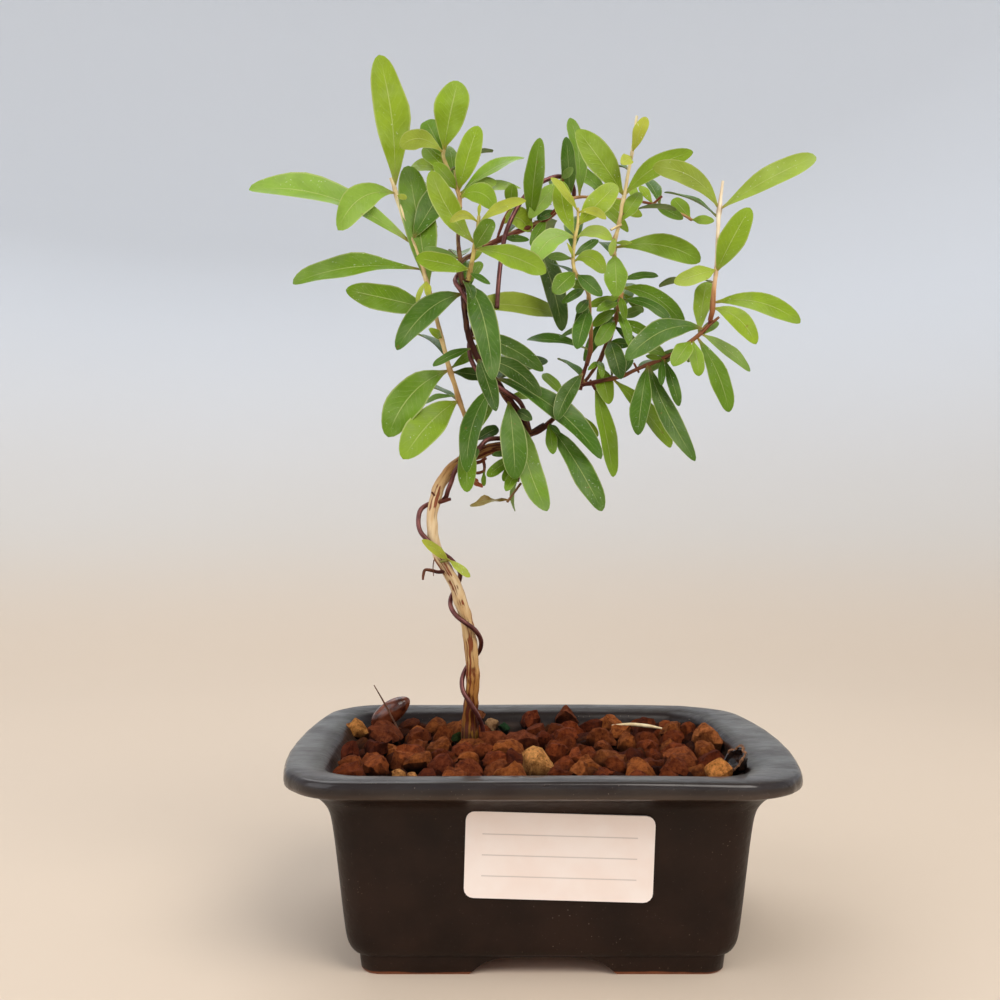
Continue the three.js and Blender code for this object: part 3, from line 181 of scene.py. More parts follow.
LEAF_SWEEP = 0.012  # how far the margin of each station lies nearer the tip than the rib
LEAF_STATIONS = (
    0, 0.07, 0.15, 0.23, 0.31, 0.4, 0.49, 0.58, 0.67, 0.75, 0.82, 0.88, 0.93, 0.97, 0.99, 1,
)
LEAF_WIDEST = (0.48, 0.66)  # share of the length
LEAF_BLUNTNESS = (1.5, 2.5)
LEAF_WEDGE = 1.1
LEAF_WAVE, LEAF_WAVES = (0.03, 0.08), (1, 1.9)
LEAF_NOTCH, LEAF_NOTCHES = (0.02, 0.07), (1.3, 2.7)
LEAF_SIDE_PHASE = 2.1  # between the waves of a leaf's two margins
LEAF_TWIST = (-0.2, 0.2)
LEAF_BRIGHTNESS = (0.86, 1.04)
LEAF_WARMTH = (-0.05, 0.06)
LEAF_VEINS = 13
LEAF_SEED = 90210
PETIOLE_END = 0.1
LEAF_THICKNESS = 0.34
# a leaf cut across: [share of the half width, up or down]
LEAF_SECTION = ((-1, 0), (0, 0.5), (1, 0), (0, -0.5))
LEAF_FOLD = (0.08, 0.42)
PETIOLE_RADIUS = 0.34
TIP_RADIUS = 0.22
DRY_TONES = ("X", "R")
DRY_CURL = 5
BRANCH_ROOT = 1.2  # how far a branch is drawn back into what it grows from

ROD_STEPS = 6  # from one point of a line to the next
TRUNK_BURIED_SHARE = 0.14
TRUNK_STOPS = 10
BARK_ROUGHNESS = 0.09
TRUNK_ROUGHNESS = 0.32
BARK_BUMPS = 0.35
WEATHERED_UP_TO = (22, 62)
NODE_SWELLING = 0.26
NODE_REACH = 1.5  # of the stem's radius
NOISE_SHIFTS = (Vector((9.3, -1.5, -8)), Vector((0, 0, 0)), Vector((-7.1, 4.6, 2.2)))

POD_HALF = (7.3, 3.6, 3.5)
POD_SINK = 1
POD_RISE = 0.62
POD_SHARPNESS = 0.16
POD_BLUNT_END = 0.4
HUSK_HALF = (4.1, 3.8, 3.4)
HUSK_WALL = 0.6
HUSK_TURN = (0, -0.85, 0.35)
HUSK_SHIFT = (0.8, 0, 1)
HUSK_RIM = 0.1  # height of the shell's cut, of its half height
HUSK_FIBRE_TURN = (-2.5, 1.4)
HUSK_FIBRE_STEPS = 14
HUSK_RAGGEDNESS, HUSK_DENTS = 0.14, 3
HUSK_FIBRE_SWAYS = 0.9
HUSK_FIBRE_FRAY, HUSK_FIBRE_FRAYS = 0.35, 1.7
NEEDLE_RADIUS = 0.28
STRAW_RADIUS = 0.55

# how finely lines and meshes are worked out
LINE_GAP = 1e-8
LINE_STEP = 1e-4
LINE_MEASURES = 200
DOUBLED = 1e-6
DRAW_FACTOR = 16807
DRAW_MODULUS = 2147483647

# ---- The studio, metres ----

FLOOR_SIDES = 96
FLOOR_RADIUS = 0.5
FLOOR_BEND = 0.75  # radius of the sweep where the floor turns up
FLOOR_BEND_STEPS = 12
FLOOR_WALL = 0.7
# [place, size, power, colour]
LIGHTS = {
    "key": ((0.45, -0.6, 0.95), 0.7, 9, (1, 0.95, 0.88)),
    "fill": ((-0.65, -0.4, 0.6), 0.8, 3.4, (0.97, 0.97, 1)),
    "back": ((-0.2, 0.55, 0.9), 0.7, 3.6, (0.95, 0.97, 1)),
}
LIGHTS_AIM = (0, 0, 0.12)
SKY_COLOUR = (0.86, 0.9, 0.95, 1)
SKY_STRENGTH = 0.4
SENSOR_WIDTH = 36
CAMERA_NEAR = 0.01

# ---- The drawn tree ----
# Drawn on an upright sheet as seen in perspective from an eye point in front of the pot. A drawn point
# (u to the right, v down) and its depth y together give a place in space.

SHEET_WIDTH = 1000
SHEET_MIDDLE = 500
SHEET_FOCUS = 1140
EYE = Vector((-11, -330, 119))
EYE_RISE = math.radians(0.5)

# Stem lines: [u, v, thickness on the sheet, depth]. Leaves: [tone, u and v of the base, u and v of the
# tip, width on the sheet, reach in depth from base to tip, and where it bends, u and v of the bend].
TRUNK_LINE = [
    [470, 752, 17, 11], [470, 738, 18, 10], [470, 720, 16, 10], [471, 700, 14.5, 9],
    [473, 680, 13.5, 8], [472, 660, 13, 7], [470, 640, 13, 6], [467, 622, 13, 5], [461, 603, 13, 4],
    [455, 585, 12.5, 3], [447, 570, 12.5, 2], [438, 553, 12, 1], [433, 535, 11.5, 0],
    [432, 518, 11.5, 0], [435, 500, 11.5, 0], [439, 487, 11.5, 1], [447, 474, 12, 2],
    [458, 464, 12, 2], [474, 456, 11, 2], [490, 449, 11, 1], [500, 447, 10, 1], [515, 441, 9, 0],
    [530, 433, 8, 0],
]
LEAFY_STEMS = {
    "shoot_left": {
        "stems": [
            [
                (474, 443, 5, 1), (470, 430, 5, 0), (462, 408, 5, -2), (459, 400, 5.5, -2),
                (455, 386, 5, -3), (450, 371, 5.5, -4), (446, 355, 4.5, -4), (442, 340, 5, -4),
                (437, 320, 4.5, -4), (431, 297, 4.5, -3), (426, 280, 4.5, -2), (420, 262, 4.5, -1),
                (414, 247, 5, 0), (408, 232, 4.5, 1), (402, 213, 4.5, 2), (397, 197, 5, 3),
                (394, 186, 4, 3), (391, 178, 4, 3),
            ],
        ],
        "leaves": [
            ("B", 398, 188, 379, 55, 37, -4, 397, 120), ("S", 412, 246, 249, 190, 28, -8, 335, 180),
            ("S", 398, 193, 338, 230, 30, -18, 355, 185), ("Y", 399, 195, 407, 198, 6, -3),
            ("M", 428, 290, 408, 166, 36, 10, 420, 232), ("D", 414, 240, 446, 186, 28, 8),
            ("M", 422, 270, 293, 284, 23, -4, 350, 258), ("M", 434, 310, 346, 290, 28, -8, 385, 298),
            ("Y", 425, 281, 417, 305, 6, -4), ("Y", 426, 281, 428, 297, 8, -4),
            ("B", 441, 338, 429, 329, 9, -8), ("M", 449, 371, 388, 437, 36, -6, 405, 385),
            ("L", 458, 401, 403, 459, 36, -12, 430, 415), ("G", 455, 397, 423, 405, 6, 8),
            ("K", 451, 371, 486, 377, 15, 8), ("M", 451, 369, 484, 347, 14, 8),
            ("L", 423, 272, 437, 264, 13, 6), ("M", 469, 430, 467, 492, 19, -6),
            ("M", 474, 438, 491, 405, 12, 6), ("K", 475, 441, 498, 428, 14, 4),
            ("D", 475, 442, 474, 460, 10, -5),
        ],
    },
    "shoot_top": {
        "stems": [
            [
                (460, 204.5, 3.8, -3), (459, 195, 4, -2), (452, 178, 3.5, -1), (447, 166, 3.5, 0),
                (443, 155, 3.5, 0), (444, 150, 3, 0),
            ],
            [(458.6, 192, 3.4, -1.9), (457, 184, 3.5, -2), (455, 170, 3, -3)],
        ],
        "leaves": [
            ("B", 444, 151, 458, 81, 34, -4), ("P", 443, 153, 400, 147, 20, -8, 420, 128),
            ("M", 445, 160, 426, 121, 25, 6), ("L", 452, 178, 424, 147, 18, 7),
            ("M", 454, 183, 449, 146, 14, 9), ("B", 449, 171, 411, 167, 14, 10),
            ("L", 457, 190, 434, 163, 15, -6), ("B", 459, 192, 478, 126, 24, -3),
            ("B", 460, 197.5, 496, 208, 22, -12, 482, 183), ("L", 460, 193, 496, 181, 14, 5),
            ("L", 460, 195, 524, 158, 11, 12), ("B", 460, 199, 520, 188, 10, 16),
            ("B", 460, 200, 469, 191, 10, 7),
        ],
    },
    "shoot_front": {
        "stems": [
            [
                (469, 276, 5, -10), (472, 262, 4, -11), (475, 245, 4, -12), (478, 226, 3.5, -14),
                (479, 216, 3, -14),
            ],
        ],
        "leaves": [
            ("B", 475, 244, 431, 171, 26, -3, 445, 215), ("Y", 478, 223, 450, 222, 10, -5, 463, 208),
            ("Y", 479, 224, 526, 201, 12, -6, 500, 204), ("Y", 479, 218, 480, 204, 4, 0),
            ("B", 475, 249, 546, 273, 25, -9, 512, 252), ("M", 475, 250, 493, 220, 20, -5),
            ("L", 470, 270, 416, 258, 20, -6), ("D", 470, 273, 490, 284, 7, -3),
            ("B", 472, 264, 481, 246, 10, 3),
        ],
    },
    "limb_left": {
        "stems": [
            [
                (520, 416, 7.5, 0), (512, 404, 7, -1), (504, 393, 7, -2), (497, 383, 7, -3),
                (488, 372, 6.5, -4), (479, 360, 6, -5), (472, 346, 6, -6), (468, 332, 6, -7),
                (465, 315, 5.5, -8), (464, 300, 5.5, -8), (463, 288, 5, -8), (461, 272, 5, -7),
                (460, 258, 4.5, -6), (458, 240, 4, -5), (459, 222, 4, -4), (460, 206, 3.8, -3),
            ],
            [(463, 286, 5, -8), (467, 281, 5, -9), (468.5, 277.5, 5, -10)],
            [(461, 262, 5, -6.5), (466, 258, 5, -4), (470, 256, 5, -2)],
        ],
        "leaves": [
            ("D", 463, 294, 397, 350, 28, -8, 425, 300), ("D", 464, 284, 493, 380, 28, -8, 486, 298),
            ("K", 464, 281, 472, 299, 9, -9), ("K", 478, 358, 496, 411, 19, -12),
            ("D", 497, 384, 467, 472, 22, -6, 466, 414), ("D", 508, 399, 515, 479, 28, -9),
            ("D", 473, 348, 433, 366, 9, -3), ("D", 470, 338, 543, 371, 20, 2, 506, 338),
            ("K", 479, 360, 541, 396, 20, -3, 515, 360), ("K", 495, 382, 547, 360, 13, 12),
            ("P", 465, 306, 560, 316, 24, 14, 515, 300), ("D", 493, 377, 601, 459, 25, -12, 558, 396),
            ("L", 507, 397, 531, 395, 10, 9), ("K", 516, 411, 532, 420, 12, -6),
            ("M", 518, 413, 547, 511, 27, -13, 522, 465), ("G", 460, 258, 424, 249, 10, -2),
            ("M", 463, 290, 481, 262, 12, 6),
        ],
    },
    "apex_tuft": {
        "stems": [
            [
                (517.4, 446.1, 3.6, -0.6), (517, 456, 3.4, -2), (517, 464, 3.2, -3), (519, 472, 3, -4),
                (518, 482, 2.6, -4),
            ],
        ],
        "leaves": [
            ("M", 517, 455, 487, 476, 12, -4), ("D", 517, 453, 492, 455, 7, -2),
            ("M", 517, 465, 503, 481, 13, -4), ("M", 518, 470, 506, 491, 12, -6),
            ("G", 518, 477, 515, 511, 5, 3),
        ],
    },
    "limb_back": {
        "stems": [
            [
                (471.5, 255.3, 5, -1.4), (478, 250, 6, 0), (497, 241, 6, 4), (512, 234, 6, 6),
                (527, 228, 6, 8), (542, 221, 6, 10), (554, 213, 5, 12), (560, 205, 4.5, 13),
                (568, 200, 4, 14), (580, 197, 3, 15), (600, 198, 2.8, 17), (625, 200, 2.8, 19),
                (652, 204, 2.8, 22), (668, 210, 2.6, 23), (681, 214, 2.6, 24), (692, 220, 2.6, 24),
            ],
            [(566, 201, 3, 14), (564, 190, 3, 12), (562, 178, 2.6, 10)],
            [(497, 241, 3, 4), (503, 222, 3, 5), (511, 206, 2.6, 6)],
            [(545, 221, 3, 11), (556, 209, 3, 10)],
            [(653, 204, 2.6, 22), (662, 196, 2.6, 21)],
        ],
        "leaves": [
            ("M", 530, 226, 540, 138, 21, 2), ("M", 580, 197, 570, 118, 17, 2, 582, 150),
            ("D", 569, 199, 566, 137, 16, -3), ("S", 612, 199, 568, 163, 14, 4),
            ("S", 562, 179, 529, 218, 18, -5), ("G", 562, 179, 573, 168, 9, -4),
            ("D", 556, 211, 537, 219, 10, -4), ("B", 502, 224, 530, 232, 22, -5, 518, 208),
            ("L", 511, 207, 513, 184, 15, -3), ("D", 503, 238, 529, 240, 8, -4),
            ("B", 600, 198, 642, 216, 13, -4), ("B", 590, 198, 628, 232, 12, -6),
            ("B", 652, 204, 640, 186, 9, 4), ("M", 654, 205, 683, 219, 13, -5),
            ("L", 691, 219, 673, 199, 15, 3), ("B", 692, 220, 714, 221, 10, -3),
            ("B", 634, 201, 632, 185, 10, 4), ("K", 529, 227, 562, 331, 22, -2),
            ("M", 545, 220, 531, 246, 12, -5),
        ],
    },
    "shoot_centre": {
        "stems": [
            [
                (587.4, 361.5, 5.6, -1), (590, 352, 5.5, -2), (591, 335, 5, -4), (590, 320, 5, -5),
                (589, 305, 5, -6), (588, 292, 5, -7), (582, 282, 4.5, -8), (575, 272, 4.5, -9),
                (573, 258, 4, -9), (575, 240, 4, -10), (578, 222, 3.5, -10), (578, 208, 3, -10),
            ],
        ],
        "leaves": [
            ("Y", 578, 212, 551, 178, 9, -3), ("B", 576, 236, 561, 181, 20, -2, 560, 210),
            ("S", 575, 238, 534, 263, 23, -6, 548, 228), ("Y", 578, 213, 606, 219, 9, -4, 594, 206),
            ("B", 578, 226, 617, 185, 25, -2), ("P", 576, 239, 612, 240, 14, -7, 595, 224),
            ("M", 575, 272, 553, 293, 20, -8), ("G", 573, 258, 548, 256, 9, 5),
            ("Y", 573, 259, 567, 243, 3.5, -3), ("B", 574, 262, 605, 273, 18, -6, 592, 248),
            ("D", 574, 257, 598, 240, 10, 6), ("D", 577, 274, 602, 296, 16, -5),
            ("K", 588, 302, 575, 329, 11, -5), ("D", 589, 307, 577, 349, 18, -8),
            ("D", 586, 288, 562, 303, 10, -3), ("M", 587, 291, 571, 282, 10, 4),
            ("K", 588, 300, 577, 313, 10, -9), ("D", 590, 325, 560, 338, 6, 3),
            ("D", 590, 350, 527, 340, 11, 2),
        ],
    },
    "shoot_upright": {
        "stems": [
            [
                (600.8, 358.5, 5.5, 3), (604, 350, 5.5, 4), (610, 337, 5.5, 4), (615, 322, 5.5, 5),
                (618, 308, 5, 5), (621, 294, 5, 5), (619, 275, 4.5, 5), (614, 255, 5, 4), (614, 242, 6, 3),
                (617, 232, 4.5, 3), (620, 218, 4.5, 2), (622, 205, 4.5, 2), (624, 197, 5, 2),
                (627, 180, 4, 1), (630, 163, 4, 1), (632, 153, 4, 0), (635, 130, 3.5, 0), (637, 116, 3, 0),
            ],
            [(618, 226, 3, 2), (611, 230, 3, 1)],
        ],
        "leaves": [
            ("Y", 632, 153, 646, 117, 14, -3), ("Y", 631, 157, 621, 164, 13, -6),
            ("B", 622, 196, 577, 130, 30, -6), ("B", 625, 196, 693, 152, 21, -4, 650, 162),
            ("L", 619, 224, 641, 193, 16, 3), ("L", 615, 248, 700, 262, 25, -6, 665, 236),
            ("P", 615, 243, 632, 243, 5, -3), ("L", 614, 254, 616, 297, 24, -9),
            ("P", 615, 238, 611, 256, 8, -5), ("L", 620, 297, 588, 306, 10, -5),
            ("M", 619, 303, 597, 311, 9, -8), ("M", 621, 297, 625, 320, 9, -5),
            ("M", 618, 311, 630, 347, 10, -7), ("M", 616, 320, 655, 336, 12, -3),
            ("D", 614, 326, 640, 347, 9, -5), ("D", 620, 281, 658, 276, 8, 3),
            ("M", 621, 288, 684, 326, 19, -3, 658, 288), ("D", 620, 300, 670, 321, 11, -7, 650, 298),
            ("G", 616, 320, 642, 309, 11, 4), ("M", 621, 292, 643, 312, 10, 6),
            ("D", 607, 343, 631, 344, 11, -4), ("D", 616, 318, 584, 361, 14, -11, 606, 315),
            ("M", 615, 320, 597, 346, 16, -4), ("M", 618, 308, 592, 326, 12, -1),
            ("K", 608, 339, 621, 379, 20, -9),
        ],
    },
    "limb_right": {
        "stems": [
            [
                (547.5, 424.5, 7.5, 0), (560, 412, 7, 1), (572, 396, 7, 1), (580, 386, 7, 0),
                (592, 383, 7, -1), (605, 380, 6.5, -2), (622, 376, 6, -3), (635, 370, 6, -4),
                (647, 365, 6, -5), (660, 360, 5.5, -6), (675, 352, 5.5, -7), (690, 342, 5.5, -7),
                (700, 334, 6, -7), (708, 326, 6, -7), (719, 317, 4, -7),
            ],
            [(581, 386, 6, 0), (583, 375, 6, 0), (587, 363, 6, -1)],
            [(583, 384, 6, 0), (592, 372, 5.5, 2), (600, 360, 5.5, 3)],
            [(706, 328, 5.5, -7), (709, 324, 5.5, -7), (710.6, 318.1, 5.5, -7.5)],
            [(592, 383, 4, -1), (595, 389, 4, -3)],
            [(637, 369, 3.5, -4), (634, 363, 3.5, -5)],
        ],
        "leaves": [
            ("D", 547, 426, 602, 511, 24, -10), ("M", 548, 425, 553, 454, 12, -6),
            ("D", 549, 424, 560, 434, 6, -4), ("K", 583, 373, 557, 420, 19, -6, 566, 390),
            ("L", 569, 400, 543, 374, 11, 8), ("M", 564, 407, 545, 404, 10, 6),
            ("B", 562, 409, 598, 436, 14, 5), ("M", 561, 411, 578, 413, 6, 6),
            ("L", 598, 362, 609, 404, 18, -6), ("M", 599, 361, 602, 378, 8, -8),
            ("M", 598, 362, 588, 370, 6, -5), ("L", 594, 383, 613, 477, 20, -5, 606, 430),
            ("L", 612, 379, 671, 447, 19, 5), ("D", 648, 365, 638, 435, 22, -8),
            ("D", 649, 365, 695, 461, 20, -5, 656, 400), ("D", 664, 358, 679, 406, 12, -2),
            ("D", 663, 359, 662, 385, 8, -5), ("M", 668, 356, 645, 346, 13, 3),
            ("L", 691, 341, 673, 366, 19, -6), ("G", 684, 346, 645, 372, 12, 6),
            ("M", 662, 359, 646, 356, 6, -4), ("D", 704, 329, 626, 360, 25, -9, 665, 316),
            ("D", 622, 376, 632, 358, 8, 5), ("K", 612, 379, 619, 352, 7, 7),
            ("M", 695, 338, 718, 322, 11, 4), ("L", 693, 340, 699, 376, 15, -5),
            ("M", 697, 337, 729, 412, 20, -4, 722, 372), ("G", 700, 334, 750, 371, 13, 4),
            ("G", 686, 345, 689, 362, 7, 5), ("B", 699, 335, 707, 282, 20, 4),
        ],
    },
    "shoot_right": {
        "stems": [
            [
                (711, 316.5, 5.5, -7.5), (712, 312, 5.5, -8), (713, 300, 5.5, -8), (714, 288, 5, -9),
                (716, 272, 4.5, -9), (717, 250, 4, -8), (718, 230, 4, -7), (719, 213, 5.5, -6),
                (720, 205, 5, -6), (721, 195, 3.5, -5), (723, 181, 3, -5),
            ],
        ],
        "leaves": [
            ("P", 719, 210, 653, 167, 21, -3, 700, 168), ("P", 720, 210, 816, 157, 23, -5),
            ("B", 716, 272, 750, 208, 27, -4), ("P", 716, 270, 674, 283, 18, -8),
            ("B", 713, 303, 800, 323, 22, -5, 760, 292), ("B", 712, 308, 756, 344, 20, -8, 742, 312),
        ],
    },
    "trunk_sprout": {
        "stems": [
            [(444, 561, 3, -1.2), (449, 560, 3, -2.4)],
        ],
        "leaves": [
            ("Y", 448, 560, 422, 540, 11, -5), ("Y", 449, 560, 470, 577, 9, -4),
        ],
    },
    "dry_leaf": {
        "stems": [
            [(518.6, 486.6, 2.6, -4.4), (513, 494, 2.4, -4.8), (507, 502, 2.4, -5.5)],
        ],
        "leaves": [
            ("X", 508.5, 500, 470, 506, 6.5, -3),
        ],
    },
}

TRUNK_FORKS = [
    [[528.6, 433, 7.6, 0.1], [522.4, 420.6, 7.5, 0]],
    [[529, 434, 7.7, -0.1], [538, 430.2, 7.8, 0], [545.6, 425.8, 7.5, 0]],
    [[477, 456, 5.4, 1.8], [474.6, 444.5, 5, 1.1]],
]
# dead stubs and twigs that the solid trunk doesn't carry
TRUNK_STUBS = [
    [
        [445, 571, 4.6, 1], [438, 572, 3.8, 0.4], [432, 570.5, 3.6, 0], [425, 570, 3, -0.5],
        [423.4, 575, 2.8, -0.5], [423, 580, 2.2, -0.5],
    ],
    [[438, 502, 5, -0.5], [445, 500.5, 4, -1], [450.5, 499, 3.4, -1.5]],
    [[434, 560, 1.2, -1.5], [433, 568, 1, -2], [433.5, 576, 0.8, -2]],
    [[474, 463, 4, -1], [480, 462, 3.6, -2.5], [486, 458, 3, -3.5]],
    [[483, 459, 3.4, -2.6], [484.5, 466, 3, -3.4], [484, 473, 2.6, -3.6]],
    [[485, 471, 3, -3.4], [478, 473, 3.4, -3.8], [471, 472, 2.4, -4]],
    [[436, 497, 2.4, -1], [431.5, 492, 2, -1.6]],
]
# a curled dead leaf and a small live one on the stubs: as in the drawn tree
STUB_LEAVES = [["R", 472, 472, 483, 487, 6, -1, 474, 484], ["M", 484, 471, 484, 486, 5.5, -1]]

# share of the drawn thickness of a node's stems that shows
WOOD_SLENDER = {"limb_right": 0.62, "shoot_centre": 0.82, "shoot_upright": 0.84, "shoot_right": 0.9}

# Windings: [height on the sheet, angle round the bark in degrees, extra distance]; 0 is the front
TRUNK_WIRE_TURNS = [
    (744, 100, 0), (728, 88, 0), (715, 48, 0), (700, 0, 0), (690, -50, 0), (681, -90, 0), (672, -135, 0),
    (663, -180, 0), (654, -225, 0), (645, -262, 0), (637, -290, 0), (628, -325, 0), (619, -370, 0),
    (611, -410, 0), (603, -450, 0), (597, -490, 0), (590, -540, 0), (583, -580, 0), (577, -615, 0),
    (563, -660, 0), (554, -690, 0), (545, -720, 0), (537, -755, 0.2), (530, -785, 0.8), (522, -805, 1),
    (512, -825, 0.8), (505, -870, 0.2), (500, -920, 0), (495, -970, 0), (487, -1005, 0), (478, -1025, 0),
    (470, -1050, 0), (463, -1070, 0), (456, -1085, 0), (452, -1110, 0), (449, -1150, 0), (446, -1195, 0),
    (441, -1240, 0), (434, -1262, 0), (424, -1275, 0), (414, -1320, 0), (404, -1375, 0), (394, -1420, 0),
    (384, -1458, 0), (372, -1500, 0), (360, -1545, 0), (346, -1600, 0), (332, -1660, 0), (318, -1715, 0),
    (304, -1765, 0), (292, -1815, 0), (283, -1870, 0), (276, -1920, 0), (269, -1975, 0),
]
REAR_WIRE_LINE = [
    (497, 308, -4), (498, 290, -3), (500, 268, -1), (502.5, 250, 0.5), (505, 236, 1), (510, 222, 1.5),
    (517, 208, 4), (525, 196, 6), (535, 186, 8), (546, 180, 9.5), (557, 176.5, 11), (566, 178, 13),
    (572, 184, 17.5), (574, 193, 19.5), (572, 202, 20.5),
]
STRAW_LINE = [(612, 731, 19), (630, 729, 19), (648, 730.5, 18.5), (662, 733, 18)]
NEEDLE_LINE = [(407, 747, 25), (386, 706, 24), (374, 685, 23)]

# ---- Colours ----


def shade(code):
    """A colour written as six hex digits, in linear light."""
    parts = [int(code[i:i + 2], 16) / 255 for i in (0, 2, 4)]
    return tuple(p / 12.92 if p <= 0.04045 else ((p + 0.055) / 1.055) ** 2.4 for p in parts)


# dark and light body, rim and its lower edge, painted sky sheen on top and darker at its front and back,
# dust, dark and light clay
GLAZE_TONES = ("180a04", "24140c", "150b0b", "5a473a", "403f39", "2a231c", "9b8878", "7a4630", "a2613f")
PAPER_TONES = ("f9eae2", "fcf1eb", "a89c98")  # two of the paper, and the ruled lines
PLASTIC_TONES = ("17181a", "26282a")
# the bed under the granules, painted the dark of the shade in the gaps between them
SOIL_BED_PAINTED_SHADE = "1a0a05"
# what a granule's own colour is multiplied by: dull, pale, painted shade in pits, painted shade low down,
# painted shade underneath, and elsewhere
CLAY_TONES = ("a08c80", "fffaf4", "54382c", "1e1410", "463630", "ffffff")
BARK_TONES = ("e4d6c6", "ffffff", "90401a", "6b4028")  # likewise: dull, plain, streaks and flecks
NODE_TONE = "8a5428"
NODE_TONE_SHARE = 0.45
PETIOLE_TONE = "b0784a"
PETIOLE_TONE_SHARE = 0.7
LEAF_TONES = {
    "Y": "aeb83a", "P": "98ae3c", "B": "88a41a", "L": "7a9b1a", "M": "64880a", "D": "426802",
    "K": "345400", "G": "76983e", "X": "7c6428", "R": "8a3c14", "S": "84a83c",
}
# over a leaf's own colour: dull and plain patches, veins, midrib, margin, dust, brown, underside, and pale
# waxy patches that are partly painted sheen
BLADE_TONES = (
    "eceddf", "ffffff", "d5e08a", "cfd98a", "c6c88a", "dfe6d2", "7a5226", "9cb06c", "b2c28a",
)
WIRE_TONES = ("5c3230", "7c4c48")
POD_TONES = ("3a1810", "7c4026")
HUSK_TONES = ("0f0a09", "2c1a13")
FIBRE_TONES = ("4c2e1e", "94643e")
NEEDLE_TONES = ("4c2e1e", "7c5036")
STRAW_TONES = ("c9b183", "e6d5ad")
# the floor: on the ground, above it, and high up, with the heights where each passes into the next
FLOOR_TONES = ("d4c2ae", "d0c7bb", "e1e6ed")
FLOOR_LIFTS = (0, 120)
FLOOR_COOLS = (-20, 430)
FLOOR_CLOUD, FLOOR_CLOUD_RISE = 400, 40
# wood colour down a stem: [height on the sheet, colour]
WOOD_TONES = {
    # the first tones, darker towards the trunk's top, carry the painted shade of the crown above it
    "trunk": [
        (425, "5e381c"), (442, "84562a"), (470, "bc9058"), (500, "e6cba0"), (560, "ead4ae"), (640, "e2c08a"),
        (682, "c48e4c"), (700, "a47034"), (716, "96601f"), (728, "84560f"), (745, "4a3c08"),
    ],
    "limb_left": [(206, "a08a4e"), (270, "6d4a30"), (330, "4f3022"), (420, "6a4630")],
    "shoot_left": [(180, "f0e4b6"), (260, "ead6a0"), (440, "d8b478")],
    "shoot_top": [(150, "d2cf88"), (204, "cfae72")],
    "shoot_front": [(216, "d6d27a"), (276, "c7b36a")],
    "limb_back": [(178, "c9a878"), (205, "c09664"), (255, "7a4830")],
    "shoot_centre": [(208, "e8e094"), (280, "dcc680"), (340, "8f5c38"), (360, "74482e")],
    "shoot_upright": [(116, "f6eec4"), (240, "f0e0a6"), (300, "c89c64"), (340, "84502f"), (358, "70432a")],
    "limb_right": [(316, "a06a44"), (360, "7c4c32"), (425, "7a4e36")],
    "shoot_right": [(181, "faeed6"), (270, "f6e4c0"), (290, "d8a472"), (317, "9a5f38")],
    "apex_tuft": [(445, "7a6440"), (482, "7f6a44")],
    "trunk_sprout": [(540, "a3ac5a"), (570, "a3ac5a")],
    "dry_leaf": [(486, "8a6842"), (502, "8a6842")],
    "stubs": [(458, "a0764c"), (470, "7a4a2e"), (500, "8a5a3a"), (580, "6a3c28")],
}

# ---- Seeded draws, the same as the solid plant's ----


def draws_from(seed):
    state = seed

    def draw(low, high):
        nonlocal state
        state = (state * DRAW_FACTOR) % DRAW_MODULUS
        return low + (high - low) * state / DRAW_MODULUS

    return draw


def unevenness(place):
    """A small push in a smoothly changing direction, each part about -1 to 1."""
    return Vector([noise.noise(place + shift) for shift in NOISE_SHIFTS])


# ---- Drawing in space ----


def seen(u, v, y):
    """The place of a drawn point at depth y."""
    across = (u - SHEET_MIDDLE) / SHEET_FOCUS
    down = (v - SHEET_MIDDLE) / SHEET_FOCUS
    reach = (y - EYE.y) / (math.cos(EYE_RISE) + down * math.sin(EYE_RISE))
    rise = math.sin(EYE_RISE) - down * math.cos(EYE_RISE)
    return Vector((EYE.x + across * reach, y, EYE.z + rise * reach))


def sheet_length(length, y):
    return length * (y - EYE.y) / SHEET_FOCUS


def drawn_height(point):
    """How far down the sheet a place is drawn."""
    rise, depth = point.z - EYE.z, point.y - EYE.y
    down = depth * math.sin(EYE_RISE) - rise * math.cos(EYE_RISE)
    return SHEET_MIDDLE + SHEET_FOCUS * down / (rise * math.sin(EYE_RISE) + depth * math.cos(EYE_RISE))


def placed(point):
    """A drawn place, in metres in the frame."""
    return POT_PLACE + Vector(point) * MM


def drawn(point):
    """A place of the frame, in the drawing's millimetres."""
    return (Vector(point) - POT_PLACE) / MM


